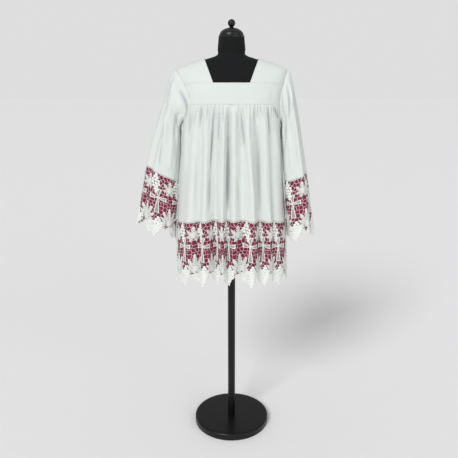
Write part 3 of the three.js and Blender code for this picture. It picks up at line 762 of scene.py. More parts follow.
# ---- lace ----
REPEAT = 100.0  # one repeat of the lace
CELL = 1.42  # the grid that its outline is cut on
OPEN = -9.0  # well outside any thread

# Berries of the two clusters of grapes: across from the cross's axis, and down.
BERRIES = Table(
    "x down",
    *((-18, 9), (-25, 19), (-12, 20), (-31, 31), (-18, 31), (-5, 33), (-28, 43), (-14, 44)),
    *((-2, 45), (-22, 55), (-9, 56), (-16, 67), (-6, 68), (-11, 78)),
    *((10, 184), (3, 194), (16, 193), (24, 203), (11, 204), (-1, 206), (25, 215), (14, 216)),
    *((2, 217), (20, 227), (8, 228), (-3, 229), (14, 238), (3, 240), (8, 250), (-3, 252), (2, 262)),
)
BERRY = 6.2
# Leaves, the undermost first: a centre across and down, how dense the stitching is, and lobes with
# their turn from straight up in degrees, length and half width.
LOBES = "turn long wide"
EDGE_LOBES = Table(
    LOBES,
    *((-100, 32, 8), (-122, 38, 8.5), (-144, 44, 9), (-163, 50, 9), (180, 55, 9.5)),
    *((160, 58, 9.5), (138, 58, 9.5), (116, 50, 9), (98, 44, 8.5)),
)
LOWER_LOBES = Table(
    LOBES,
    *((-80, 32, 6.4), (-54, 46, 7), (-28, 62, 7.4), (-3, 75, 7.6)),
    *((22, 66, 7.4), (47, 50, 7), (74, 34, 6.4)),
)
UPPER_LOBES = Table(
    LOBES,
    *((-148, 24, 5.8), (-98, 29, 6.4), (-48, 37, 7.2), (0, 42, 7.4)),
    *((44, 36, 7), (92, 27, 6.2), (142, 25, 5.6)),
)
LEAVES = (
    (-20, 204, 0.85, EDGE_LOBES),
    (-44, 204, 0.6, LOWER_LOBES),
    (-54, 58, 0.55, UPPER_LOBES),
)
LEAF_HEART = {"radius": 7, "high": 1.4}
LEAF_VEIN = {"high": 1.7, "wide": 1.1}
LEAF_RIM = {"high": 0.9, "in": 1.2}
LEAF_SLOTS = {"from": 0.3, "to": 0.75, "wide": 0.95, "step": 7.5, "start": 3}
DOTS, DOT = 7.1, 1.6  # step and radius of the small holes in the band
SCALLOP = {"x": -4, "down": 212, "across": 43, "tall": 32}  # the filled band between the tips
CROSS = {"top": 62, "foot": 164, "middle": 100, "reach": 36, "narrow": 3.0, "flare": (8.4, 7.0)}
CROSS_BAND = 3.3  # width of the cross's outline
CROSS_MESH = 5.6  # step of the mesh that fills it
CROSS_THREAD = 0.85  # half the width of that mesh's threads
CROSS_HOLD = 30  # the pattern keeps its true width this far from a cross
# Holes above the edge: across, down and half width.
EYES = (
    *((-30, 220, 4.4), (-12, 222, 4.2), (-22, 235, 2.6), (-7, 237, 2.4), (-34, 231, 2.0)),
    *((36, 216, 3.6), (34, 230, 2.4), (-40, 208, 2.6), (40, 204, 2.4), (-16, 247, 1.9)),
)
EYE_FLAT = 1.4  # how much wider than tall they are
NET_ACROSS = 6  # cells of the net in one repeat
NET_DOWN = 18
NET_THREAD = 1.5
NET_FOOT = 212
NET_UNEVEN = 0.4  # how far a cell's middle strays, in cells
SEAM_TAPE = 3.2  # the solid band at the top


def beside(x, centre):
    """Distance along the lace from the nearest repeat of a place."""
    return (x - centre + REPEAT / 2) % REPEAT - REPEAT / 2


def leaf(x, down, centre, low, lobes):
    """Lobes that spread from a centre, each wide sin(pi t^1.2)^0.6 across at t of its length, with a
    wavy edge. Gives the outline, the height, and the slots between the veins."""
    off_x, off_y = beside(x, centre), down - low
    away = np.hypot(off_x, off_y)
    outline = LEAF_HEART["radius"] - away
    height = np.where(outline > 0, LEAF_HEART["high"], 0.0)
    slots = np.full(np.shape(x), OPEN)
    for lobe in lobes:
        turn = math.radians(lobe["turn"])
        ahead = off_x * math.sin(turn) - off_y * math.cos(turn)
        across = np.abs(off_x * math.cos(turn) + off_y * math.sin(turn))
        t = np.clip(ahead / lobe["long"], 0.0, 1)
        inside = (t > 0) & (t < 1)
        body = lobe["wide"] * np.sin(math.pi * t**1.2) ** 0.6 * (1 + 0.1 * np.cos(5.5 * TAU * t))
        edge = np.where(inside, body - across, -away)
        outline = np.maximum(outline, edge)
        vein = LEAF_VEIN["high"] * np.exp(-((across / LEAF_VEIN["wide"]) ** 2))
        rim = LEAF_RIM["high"] * np.exp(-((body - across - LEAF_RIM["in"]) ** 2))
        height = np.maximum(height, np.where(edge > 0, 0.7 + vein + rim, 0))
        rungs = 0.5 + 0.5 * np.cos(TAU * (ahead - LEAF_SLOTS["start"]) / LEAF_SLOTS["step"])
        slot = np.minimum(LEAF_SLOTS["wide"] - np.abs(across - body * 0.5), rungs * 4 - 1.5)
        slotted = inside & (t > LEAF_SLOTS["from"]) & (t < LEAF_SLOTS["to"])
        slots = np.maximum(slots, np.where(slotted, slot, OPEN))
    return outline, height, slots


def grapes(x, down):
    """Round berries: each is a half ball with a dimple at its middle."""
    outline = np.full(np.shape(x), -50.0)
    height = np.zeros(np.shape(x))
    for berry in BERRIES:
        away = np.hypot(beside(x, berry["x"]), down - berry["down"])
        outline = np.maximum(outline, BERRY - away)
        ball = 3.2 * np.sqrt(np.clip(1 - (away / BERRY) ** 2, 0, 1))
        height = np.maximum(height, ball - 1.2 * np.exp(-((away / 1.6) ** 2)))
    return outline, height


def cross(x, down):
    """A cross whose arms widen outwards, with a raised outline round a filling of slanted mesh."""
    off_x, off_y = beside(x, 0), down - CROSS["middle"]
    up, foot = CROSS["middle"] - CROSS["top"], CROSS["foot"] - CROSS["middle"]
    arms = []
    for along, across, reach, flare in (
        (off_y, off_x, np.where(off_y < 0, up, foot), CROSS["flare"][0]),
        (off_x, off_y, CROSS["reach"], CROSS["flare"][1]),
    ):
        body = CROSS["narrow"] + flare * np.clip(np.abs(along) / reach, 0, 1.2)
        arms.append(np.minimum(body - np.abs(across), reach - np.abs(along)))
    outline = np.maximum(*arms)
    slants = [np.abs(way % CROSS_MESH - CROSS_MESH / 2) for way in (off_x + off_y, off_x - off_y)]
    band = np.exp(-(((outline - CROSS_BAND / 2) / 1.4) ** 2))
    height = np.where(outline > 0, 0.4 + 2.4 * band, 0)
    dense = np.where(outline < CROSS_BAND, 1.0, 0.15)
    return outline, height, dense, np.minimum(outline - CROSS_BAND, np.minimum(*slants) - CROSS_THREAD)


def net(x, down):
    """Threads along the borders of cells round jittered points: half the thread less the distance
    to the line midway between the two nearest points."""
    draw = np.random.default_rng(5)
    jitter = draw.uniform(-NET_UNEVEN, NET_UNEVEN, (NET_DOWN + 4, NET_ACROSS, 2))
    pitch = np.array([REPEAT / NET_ACROSS, LACE_DROP / NET_DOWN])
    here = np.stack([x, down], -1)[..., None, :]
    cell = np.floor(here / pitch).astype(int)
    c = cell[..., 0] + np.tile([-1, 0, 1], 3)
    r = cell[..., 1] + np.repeat([-1, 0, 1], 3)
    middles = np.stack([c + 0.25 + 0.5 * (r % 2), r + 0.5], -1) + jitter[r + 1, c % NET_ACROSS]
    spots = middles * pitch
    away = np.linalg.norm(here - spots, axis=-1)
    nearest = np.argsort(away, -1)[..., :2]
    near = np.take_along_axis(away, nearest, -1)
    pair = np.take_along_axis(spots, nearest[..., None], -2)
    between = np.linalg.norm(pair[..., 1, :] - pair[..., 0, :], axis=-1)
    return NET_THREAD / 2 - (near[..., 1] ** 2 - near[..., 0] ** 2) / (2 * between)


def lace_field(x, down):
    """The lace at places along and down it: how far inside its outline (negative is open), its
    height, and how dense its stitching is."""
    outline = np.where(down > NET_FOOT, OPEN, net(x, down))
    height = np.full(x.shape, 0.5)
    dense = np.full(x.shape, 0.35)

    def lay(shape, raised, density, holes=None):
        nonlocal outline, height, dense
        inside = shape > 0
        height = np.where(inside, raised, height)
        dense = np.where(inside, density, dense)
        field = shape if holes is None else np.minimum(shape, -holes)
        outline = np.where(inside, field, np.maximum(outline, shape))

    off_x = beside(x, SCALLOP["x"]) / SCALLOP["across"]
    off_y = (down - SCALLOP["down"]) / SCALLOP["tall"]
    shape = (1 - np.hypot(off_x, np.maximum(off_y, 0.3 * off_y))) * SCALLOP["tall"]
    wavy = down + 3 * np.sin(x / 7)
    dots = DOT - np.hypot(beside(x, 0) % DOTS - DOTS / 2, wavy % DOTS - DOTS / 2)
    lay(np.where(off_y < -0.2, OPEN, shape), 0.8, 0.6, dots)
    for centre, low, density, lobes in LEAVES:
        shape, raised, holes = leaf(x, down, centre, low, lobes)
        lay(shape, raised, density, holes)
    for centre, low, wide in EYES:
        outline = np.minimum(outline, np.hypot(beside(x, centre), (down - low) * EYE_FLAT) - wide)
    lay(*cross(x, down))
    lay(*grapes(x, down), 1.0)
    lay(SEAM_TAPE - down, 1.0, 0.9)
    return outline, height, dense


def cut_out(field):
    """Polygons of the part of a grid where the field is positive, its edge placed by linear
    interpolation. Gives the points as (row, column) and faces for each number of corners."""
    inside = field > 0
    r, c = np.indices(field.shape)

    def crossing(a, b):
        t = a / np.where(a == b, 1, a - b)
        return np.clip(t, 0.02, 0.98)

    level = inside[:, :-1] != inside[:, 1:]
    upright = inside[:-1] != inside[1:]
    level_t = crossing(field[:, :-1], field[:, 1:])[level]
    upright_t = crossing(field[:-1], field[1:])[upright]
    masks = (inside, level, upright)
    starts = np.cumsum([0, inside.sum(), level.sum()])
    ids = [np.full(mask.shape, -1) for mask in masks]
    for found, mask, start in zip(ids, masks, starts):
        found[mask] = start + np.arange(mask.sum())
    corner, side, post = ids
    points = np.concatenate(
        [
            np.stack([r[inside], c[inside]], -1),
            np.stack([r[:, :-1][level], c[:, :-1][level] + level_t], -1),
            np.stack([r[:-1][upright] + upright_t, c[:-1][upright]], -1),
        ]
    )
    # The walk round a cell: each corner that is inside, and each edge that the outline crosses.
    walk = [corner[:-1, :-1], post[:, :-1], corner[1:, :-1], side[1:]]
    walk += [corner[1:, 1:], post[:, 1:], corner[:-1, 1:], side[:-1]]
    walk = np.stack(walk, -1).reshape(-1, 8)
    count = (walk >= 0).sum(1)
    faces = []
    for size in (3, 4, 5, 6):
        chosen = walk[count == size]
        faces.append(chosen[chosen >= 0].reshape(-1, size))
    return points, faces


def even_repeats(repeats, phase):
    """The pattern's places for lengths along a border: whole repeats at even steps."""

    def places(length, x):
        return phase + length / length[-1] * repeats * REPEAT

    return places


def placed_crosses(*crosses):
    """The same with crosses at places along X, each with the number of its repeat. They keep their
    true width, and the pattern between them is eased to fit."""

    def places(length, x):
        cross_x, number = np.array(crosses, float).T
        holds = np.array([[-CROSS_HOLD, CROSS_HOLD]])
        knots = (np.interp(cross_x, x, length)[:, None] + holds).ravel()
        drawn = (number[:, None] * REPEAT + holds).ravel()
        ends = drawn[0] - knots[0], drawn[-1] + length[-1] - knots[-1]
        return np.interp(length, [0, *knots, length[-1]], [ends[0], *drawn, ends[1]])

    return places


def put_lace(node, border, way, ends, pattern, settings):
    """A lace border between two ends of its surface. The pattern runs along the cloth's own length,
    measured halfway down, and stands proud of the surface by its height."""
    u = np.linspace(*ends, 2401)
    middle = border(u, np.full_like(u, LACE_DROP / 2), way)
    length = run_of(middle)
    along = pattern(length, middle[:, 0])
    phase, along = along[0], along - along[0]
    columns, rows = (int(round(size / CELL)) + 1 for size in (length[-1], LACE_DROP))
    x = np.linspace(0, along[-1], columns)
    down = np.linspace(SEAM_GAP, LACE_DROP + 2, rows)
    grid_x, grid_down = np.meshgrid(x, down)
    places, faces = cut_out(lace_field(grid_x + phase, grid_down)[0])
    x_at = np.interp(places[:, 1], np.arange(columns), x)
    down_at = np.interp(places[:, 0], np.arange(rows), down)
    outline, height, dense = lace_field(x_at + phase, down_at)
    u_at = np.interp(x_at, along, u)
    across = border(u_at + NUDGE, down_at, way) - border(u_at - NUDGE, down_at, way)
    downwards = border(u_at, down_at + 1.0, way) - border(u_at, down_at - 1.0, way)
    away = unit(np.cross(downwards, across))
    rounded = np.sqrt(np.clip(outline / 1.4, 0, 1))
    flat_ends = ramp(np.minimum(x_at, along[-1] - x_at) / 14)
    proud = LACE_PROUD + settings.relief / MM * flat_ends * (height * rounded - 0.5)
    points = border(u_at, down_at, way) + away * proud[:, None]
    uv = np.stack([x_at, -down_at], -1) * MM
    return put_mesh(node, "_sewn", points, faces, lace_thread(settings), "lace", uv, marks={"dense": dense})


# ---- materials ----
def join(tree, value, socket):
    """Links a socket to an input, or sets the input to a plain value."""
    if isinstance(value, bpy.types.NodeSocket):
        tree.links.new(value, socket)
    else:
        socket.default_value = value


def add_node(tree, kind, inputs=None, **settings):
    made = tree.nodes.new("ShaderNode" + kind)
    for name, value in settings.items():
        setattr(made, name, value)
    for name, value in (inputs or {}).items():
        join(tree, value, made.inputs[name])
    return made


def maths(tree, operation, *values, clamp=False):
    return add_node(tree, "Math", dict(enumerate(values)), operation=operation, use_clamp=clamp).outputs[0]


def weighted(tree, a, share_a, b, share_b, clamp=False):
    """A share of one and a share of another, added."""
    first, second = maths(tree, "MULTIPLY", a, share_a), maths(tree, "MULTIPLY", b, share_b)
    return maths(tree, "ADD", first, second, clamp=clamp)


def mixed(tree, share, a, b):
    """A colour between two, each a socket or four numbers."""
    return add_node(tree, "Mix", {"Factor": share, 6: a, 7: b}, data_type="RGBA").outputs[2]


def shade(tree, tone, colour, low, high):
    """A colour from its low share to its high share, by a tone from 0 to 1."""
    return mixed(tree, tone, *((*(part * share for part in colour), 1) for share in (low, high)))


def bumped(tree, height, strength, distance):
    inputs = {"Height": height, "Strength": strength, "Distance": distance}
    return add_node(tree, "Bump", inputs).outputs["Normal"]


def waves(tree, place, inputs, **settings):
    return add_node(tree, "TexWave", {"Vector": place, **inputs}, **settings).outputs["Fac"]


def cloth_places(tree):
    return add_node(tree, "UVMap", uv_map="Cloth").outputs["UV"]


def body_places(tree):
    return add_node(tree, "TexCoord").outputs["Object"]


def mark(tree, name):
    return add_node(tree, "Attribute", attribute_name=name).outputs["Fac"]


def weave(group, given):
    """Plain weave: threads over and under in a checker of the cloth's own places."""
    split = add_node(group, "SeparateXYZ", {"Vector": given["Cloth"]})
    across, along = (maths(group, "MULTIPLY", split.outputs[k], given["Threads"]) for k in "XY")
    parity = maths(group, "ADD", maths(group, "FLOOR", across), maths(group, "FLOOR", along))
    over = maths(group, "FLOORED_MODULO", parity, 2.0)
    warp, weft = (
        maths(group, "ABSOLUTE", maths(group, "SINE", maths(group, "MULTIPLY", place, math.pi)))
        for place in (across, along)
    )
    return {"Height": weighted(group, warp, over, weft, maths(group, "SUBTRACT", 1.0, over))}


def unevenness(group, given):
    """Slow and fast unevenness of a surface, for its colour and its height."""
    slow, fast = (
        add_node(group, "TexNoise", {"Vector": given["Place"], "Scale": given[k], "Detail": 3.0})
        for k in ("Slow", "Fast")
    )
    tone = weighted(group, slow.outputs["Fac"], 0.7, fast.outputs["Fac"], 0.3)
    return {"Tone": tone, "Height": fast.outputs["Fac"]}


# Each shared effect: its name, what builds it, its inputs with their defaults, and its outputs.
WEAVE = ("Plain weave", weave, {"Cloth": None, "Threads": 1800.0}, ("Height",))
UNEVEN = ("Unevenness", unevenness, {"Place": None, "Slow": 9.0, "Fast": 70.0}, ("Tone", "Height"))


def effect(tree, shared, inputs):
    """A shared effect in a material's tree. Its node group is made once."""
    name, build, defaults, results = shared
    group = bpy.data.node_groups.get(name)
    if group is None:
        group = bpy.data.node_groups.new(name, "ShaderNodeTree")
        for label, default in defaults.items():
            kind = "NodeSocketVector" if default is None else "NodeSocketFloat"
            socket = group.interface.new_socket(label, in_out="INPUT", socket_type=kind)
            if default is not None:
                socket.default_value = default
        for label in results:
            group.interface.new_socket(label, in_out="OUTPUT", socket_type="NodeSocketFloat")
        given = group.nodes.new("NodeGroupInput").outputs
        end = group.nodes.new("NodeGroupOutput")
        for label, value in build(group, given).items():
            group.links.new(value, end.inputs[label])
    return add_node(tree, "Group", inputs, node_tree=group).outputs


def uneven(tree, place, **scales):
    """The tone and the height of the unevenness at a place."""
    made = effect(tree, UNEVEN, {"Place": place, **scales})
    return made["Tone"], made["Height"]


def finish(name, recipe):
    """A material, made once: the recipe gives the shader's inputs for the material's tree."""
    material = bpy.data.materials.get(name)
    if material is None:
        material = bpy.data.materials.new(name)
        material.use_nodes = True
        tree = material.node_tree
        for label, value in recipe(tree).items():
            join(tree, value, tree.nodes["Principled BSDF"].inputs[label])
    return material


PAINTED_LIGHT_SHARE = 0.5  # how much of the painted shade the deepest crease gets, and of the painted highlight the highest ridge
# A painted highlight: the lighter colour that the ridges and the stitches are painted towards.
RIDGE_HIGHLIGHT_COLOUR = (0.86, 0.89, 0.89, 1)


def cotton(settings):
    """White cotton: a fine plain weave, a soft sheen, painted grey shade in its creases and a painted
    highlight on its ridges.
    """

    def recipe(tree):
        threads = {"Cloth": cloth_places(tree), "Threads": 1 / settings.thread}
        woven = effect(tree, WEAVE, threads)["Height"]
        tone, height = uneven(tree, body_places(tree))
        # Where the crease mark is above 0 it paints shade into the creases, and where it is below 0 it
        # paints a highlight on ridges and stitches.
        crease = mark(tree, "crease")
        plain = shade(tree, tone, settings.cotton, 0.97, 1.02)
        sunk = maths(tree, "MULTIPLY", crease, PAINTED_LIGHT_SHARE, clamp=True)
        raised = maths(tree, "MULTIPLY", crease, -PAINTED_LIGHT_SHARE, clamp=True)
        painted_shade_colour = mixed(tree, sunk, plain, (*settings.shadow, 1))
        return {
            "Base Color": mixed(tree, raised, painted_shade_colour, RIDGE_HIGHLIGHT_COLOUR),
            "Normal": bumped(tree, weighted(tree, woven, 0.12, height, 0.8), 0.35, 0.001),
            "Roughness": maths(tree, "MULTIPLY_ADD", tone, 0.12, 0.76),
            "Sheen Weight": 0.25,
            "Sheen Roughness": 0.5,
            "Specular IOR Level": 0.25,
        }

    return finish("white cotton", recipe)


def lace_thread(settings):
    """Heavy white thread: satin stitches over the motifs, and painted greyer where it is loosely worked, as
    the shade of its small holes.
    """

    def recipe(tree):
        cloth = cloth_places(tree)
        dense = mark(tree, "dense")
        stitches = waves(tree, cloth, {"Scale": 320.0, "Distortion": 6.0, "Detail": 1.0})
        tone, height = uneven(tree, cloth, Slow=60.0, Fast=500.0)
        # Painted shade: the thread's colour darkens where its stitching is loose, for the shade in its
        # small holes.
        tone = weighted(tree, dense, 0.75, tone, 0.3, clamp=True)
        return {
            "Base Color": shade(tree, tone, settings.lace, 0.6, 1.0),
            "Normal": bumped(tree, weighted(tree, stitches, 0.5, height, 0.5), 0.5, 0.0006),
            "Roughness": maths(tree, "MULTIPLY_ADD", dense, -0.25, 0.85),
            "Sheen Weight": 0.2,
        }

    return finish("white lace thread", recipe)


def satin(settings):
    """Crimson lining: a fine twill with a soft gloss."""

    def recipe(tree):
        slants = {"Scale": 700.0, "Distortion": 0.4}
        twill = waves(tree, cloth_places(tree), slants, bands_direction="DIAGONAL")
        tone, height = uneven(tree, body_places(tree))
        return {
            "Base Color": shade(tree, tone, settings.lining, 0.8, 1.15),
            "Normal": bumped(tree, weighted(tree, twill, 0.15, height, 0.8), 0.4, 0.0008),
            "Roughness": maths(tree, "MULTIPLY_ADD", tone, 0.15, 0.42),
            "Specular IOR Level": 0.3,
        }

    return finish("crimson lining", recipe)


def jersey(settings):
    """Black jersey over the torso: fine ribs with a felted nap."""

    def recipe(tree):
        place = body_places(tree)
        ribs = waves(tree, place, {"Scale": 260.0, "Distortion": 1.2, "Detail": 1.0})
        tone, height = uneven(tree, place, Fast=400.0)
        return {
            "Base Color": shade(tree, tone, settings.jersey, 0.7, 1.5),
            "Normal": bumped(tree, weighted(tree, ribs, 0.3, height, 0.7), 0.5, 0.0008),
            "Roughness": maths(tree, "MULTIPLY_ADD", tone, 0.2, 0.75),
            "Sheen Weight": 0.03,
            "Specular IOR Level": 0.2,
        }

    return finish("black jersey", recipe)


def hard_finish(name, colour, coat):
    """Plastic or painted steel: a fine orange peel, and scuffs that change its gloss."""

    def recipe(tree):
        tone, height = uneven(tree, body_places(tree), Slow=14.0, Fast=600.0)
        return {
            "Base Color": shade(tree, tone, colour, 0.85, 1.3),
            "Normal": bumped(tree, height, 0.15, 0.0003),
            "Roughness": maths(tree, "MULTIPLY_ADD", tone, 0.2, 0.24),
            "Coat Weight": coat,
            "Specular IOR Level": 0.3,
        }

    return finish(name, recipe)


def pale_floor(settings):
    """A matt floor, hardly mottled."""

    def recipe(tree):
        tone, _ = uneven(tree, body_places(tree))
        return {"Base Color": shade(tree, tone, settings.floor, 0.985, 1.01), "Roughness": 0.9}

    return finish("pale floor", recipe)


# ---- turned pieces ----
def put_round(node, ending, rings, tips, material, slot):
    """A closed piece from rings of points, from the top down with the angle growing, and the height
    of its tip on the axis at both ends."""
    count, segments = rings.shape[:2]
    here = np.arange(segments)
    there = (here + 1) % segments
    last = (count - 1) * segments
    tip = np.full(segments, count * segments)
    top = np.stack([tip, here, there], -1)
    foot = np.stack([tip + 1, last + there, last + here], -1)
    points = np.concatenate([rings.reshape(-1, 3), [[0, 0, z] for z in tips]])
    faces = [np.concatenate([top, foot]), grid_faces(count, segments, closed=True)]
    return put_mesh(node, ending, points, faces, material, slot)


def spin(node, profile, segments, material, slot):
    """A profile of (radius, height) points, from the axis at its foot to the axis at its top,
    carried round it."""
    radius, height = np.array(profile, float)[::-1].T
    radius, ring_z = radius[1:-1, None], height[1:-1, None]
    angles = np.arange(segments) * TAU / segments
    rings = np.broadcast_arrays(radius * np.cos(angles), radius * np.sin(angles), ring_z)
    return put_round(node, "_turned", np.stack(rings, -1), height[[0, -1]], material, slot)


def arc(radius, height, start, end, count, z=0.0):
    """Points of a profile on an ellipse round the axis, between two angles in degrees."""
    angles = np.radians(np.linspace(start, end, count))
    return [(radius * math.cos(a), z + height * math.sin(a)) for a in angles]


def corner(radius, z, size, start, steps=5):
    """A rounded corner of a turned profile: a quarter circle of that size, ending start degrees on."""
    return [(radius + out, up) for out, up in arc(size, size, start, start + 90, steps, z)]


# ---- settings ----
def colour_setting(name, description, default):
    return FloatVectorProperty(
        name=name, description=description, default=default, subtype="COLOR", min=0, max=1
    )


def length_setting(name, description, default):
    return FloatProperty(name=name, description=description, default=default, unit="LENGTH")


class SURPLICE_PG_cloth(PropertyGroup):
    """Sizes and colours of the cloth."""

    cotton: colour_setting("Cotton", "Colour of the yoke, panels and sleeves", (0.715, 0.76, 0.73))
    # Painted shade: the colour that the deepest creases are painted towards.
    shadow: colour_setting("Shadow", "Colour of the cotton deep in a crease", (0.32, 0.36, 0.41))
    lace: colour_setting("Lace", "Colour of the lace thread", (0.90, 0.92, 0.885))
    lining: colour_setting("Lining", "Colour of the lining behind the lace", (0.26, 0.010, 0.055))
    thread: length_setting("Thread", "Width of one thread of the weave", 0.00055)
    relief: length_setting("Lace relief", "Height of the lace for one millimetre of its drawing", 0.001)
    crumple: length_setting("Crumple", "Height of the cloth's small unevenness", 0.0005)
    crease: FloatProperty(
        name="Creases", description="Depth of the creases, as a share", default=1.0, subtype="FACTOR"
    )


class SURPLICE_PG_form(PropertyGroup):
    """Colours of the dress form and the floor."""

    jersey: colour_setting("Jersey", "Colour of the torso's cover", (0.006, 0.0065, 0.007))
    cap: colour_setting("Cap", "Colour of the neck cap and its ball", (0.008, 0.009, 0.0085))
    stand: colour_setting("Stand", "Colour of the pole and the base", (0.0025, 0.003, 0.0025))
    floor: colour_setting("Floor", "Colour of the floor", (0.955, 0.955, 0.955))


# ---- cloth pieces ----
YOKE_GRID = (64, 200)
SHOULDER_GRID = (110, 90)
SHOULDER_CLOSE = 0.6  # how far its rows and columns draw together at the seams
PANEL_GRID = (118, 336)  # rows below the armholes, and columns
# The rows beside an armhole follow its edge, in degrees round it.
ARMHOLE_ROWS = np.concatenate([np.linspace(PANEL_TOP, 25, 28), np.linspace(20, 0, 5)])
SLEEVE_GRID = (150, 220)
HEM_LINING_GRID = (14, 320)
CUFF_LINING_GRID = (14, 220)
LINING_CLOTH = 0.6
SEAM = {"wide": 6.0, "fades": 2.2, "stands": 0.7, "roll": 0.6, "rolled": 1.3, "pressed": 0.9}
SEAM_FLATTER = 0.8  # the seams of panels and sleeves stand out less than the yoke's
# The panel's creases fade near its seams, and are deeper low down, where the form leaves more room.
PANEL_HELD = {"yoke": 10, "sides": 0.03, "hem": 40, "at_hem": 0.35}
PANEL_DEEPER = {"from": 1340, "over": 60, "share": 1.55}
CRUMPLE_DRAWN = 0.45  # a hanging cloth's crumples are longer down than across
SLEEVE_ROUND = 400.0  # a sleeve's mean round and mean step between sections
SLEEVE_STEP = 52.0
SLEEVE_DEEPER = 1.25
SLEEVE_CRUMPLE_DRAWN = 0.6
SLEEVE_STITCHES = (6, 308)  # lines round the sleeve, down from the armhole
UNDER_SLEEVE = 0.05  # the share of the round, beside the inner edge, that stays plain
# Painted light on the cotton: the power by which painted shade grows with a trough's depth, the painted
# highlight on a ridge and the height at which it is full, and the painted shade in the gathers' valleys.
PAINTED_SHADE_POWER = 1.6
RIDGE_HIGHLIGHT_MARK, RIDGE_FULL = 0.6, 6
GATHER_PAINTED_SHADE = 0.8


def inset(count):
    return np.linspace(SIDE_INSET, 1 - SIDE_INSET, count)


def seam_roll(distance):
    """The allowance under a seam: the cloth stands out near the edge, with a roll at the edge and a
    line that the stitches press in."""
    allowance = SEAM["stands"] * (1 - ramp((distance - SEAM["wide"]) / SEAM["fades"]))
    rolled = np.exp(-(((distance - SEAM["rolled"]) / SEAM["rolled"]) ** 2))
    pressed = np.exp(-(((distance - SEWN_IN) / SEAM["pressed"]) ** 2))
    return allowance + SEAM["roll"] * (rolled - pressed)


def painted_light_marks(lines, full):
    """Painted light: 1 for full painted shade in a trough of the full depth, and negative for a painted
    highlight on a ridge.
    """
    ridges = RIDGE_HIGHLIGHT_MARK * np.clip(lines / RIDGE_FULL, 0, 1)
    return np.clip(-lines / full, 0, 1) ** PAINTED_SHADE_POWER - ridges


def make_yoke(name, face, settings):
    low, high = armhole_height(PANEL_TOP), armhole_height(YOKE_TOP[face])
    rows, columns = YOKE_GRID
    level = eased(high - SEAM_GAP / 2, low + SEAM_GAP / 2, rows)
    u, z = np.meshgrid(inset(columns), level)
    points = across_body(u, z, face)
    x = points[..., 0]
    proud = creased(x, z, YOKE_CREASES[face], settings.crease) * ramp((z - low) / 12)
    proud += crumple(x, z, 11 + face, settings.crumple / MM)
    proud += seam_roll(high - z) + seam_roll(z - low)
    points = points + outward(points) * proud[..., None]
    stitches = np.interp((SEWN_IN, high - low - SEWN_IN), high - level, np.arange(rows))
    return put_cloth(name, points, cotton(settings), "cotton", sewn=[(0, row) for row in stitches])


def make_shoulder(name, side, settings):
    rows, columns = SHOULDER_GRID
    across = eased(SHOULDER_SIDES, 1 - SHOULDER_SIDES, columns, SHOULDER_CLOSE)
    u, v = np.meshgrid(across, eased(SHOULDER_ENDS, 2 - SHOULDER_ENDS, rows, SHOULDER_CLOSE))
    points = shoulder_surface(u, v, side)
    proud = crumple(points[..., 0], points[..., 1], 21 + side, settings.crumple / MM)
    wide = np.linalg.norm(points[:, -1] - points[:, 0], axis=-1)[:, None]
    proud += seam_roll((1 - u) * wide)
    points = points + outward(points) * proud[..., None]
    line = np.interp(1 - SEWN_IN / wide.mean(), across, np.arange(columns))
    if side < 0:
        points = points[:, ::-1] * [-1, 1, 1]
        line = columns - 1 - line
    return put_cloth(name, points, cotton(settings), "cotton", sewn=[(1, line)])


def panel_places(level, count, face):
    """Columns at even steps along the outline below the armholes. Beside an armhole the columns near
    it draw together, and the rest stay upright."""
    turn = inset(4001) * math.pi
    length = run_of(across_body(turn / math.pi, np.full_like(turn, UNDERARM), face))
    turn = np.interp(np.linspace(0, length[-1], count), length, turn)[None, :]
    first = -1 if face < 0 else 1
    begin = armhole_angle(level, face, first)[:, None]
    end = math.pi - armhole_angle(level, face, -first)[:, None]
    near = math.pi / 4
    turn = np.where(turn < near, lerp(begin, near, turn / near), turn)
    turn = np.where(turn > math.pi - near, lerp(end, math.pi - near, (math.pi - turn) / near), turn)
    return np.clip((turn - begin) / (end - begin), SIDE_INSET, 1 - SIDE_INSET)


def make_panel(name, face, settings):
    below_arm, columns = PANEL_GRID
    upper = armhole_height(ARMHOLE_ROWS)
    upper[0] -= SEAM_GAP / 2
    t = np.linspace(0, 1, below_arm)[1:]
    lower = lerp(upper[-1], HEM_SEAM + SEAM_GAP / 2, t - 0.4 * np.sin(math.pi * t) / math.pi)
    level = np.concatenate([upper, lower])
    u = panel_places(level, columns, face)
    z = np.broadcast_to(level[:, None], u.shape)
    points = panel_surface(u, z, face)
    x = points[..., 0]
    held = ramp(u / PANEL_HELD["sides"]) * ramp((1 - u) / PANEL_HELD["sides"])
    held = held * ramp((upper[0] - z) / PANEL_HELD["yoke"])
    held = held * lerp(PANEL_HELD["at_hem"], 1, ramp((z - HEM_SEAM) / PANEL_HELD["hem"]))
    lines = held * creased(x, z, FRONT_CREASES if face < 0 else BACK_CREASES, settings.crease)
    # Painted shade in the gathers' valleys, from 0 on their ridges to 1 at their deepest.
    pinched = np.clip(-gathers_at(z, x, face) / GATHER_DEPTH, 0, 1) ** 1.5
    lower_down = ramp((PANEL_DEEPER["from"] - z) / PANEL_DEEPER["over"])
    proud = lines * lerp(1, PANEL_DEEPER["share"], lower_down)
    proud += held * crumple(x, z * CRUMPLE_DRAWN, 31 + face, settings.crumple / MM)
    proud += seam_roll(z - HEM_SEAM) * SEAM_FLATTER
    points = points + level_outward(points) * proud[..., None]
    row = np.interp(-(HEM_SEAM + SEWN_IN), -level, np.arange(len(level)))
    # Painted shade in the creases and gathers, and a painted highlight on the ridges.
    marks = painted_light_marks(lines, 4.5) + GATHER_PAINTED_SHADE * pinched
    out = level_outward(points)
    return put_cloth(
        name, points, cotton(settings), "cotton", normals=out, sewn=[(0, row)], marks=marks
    )


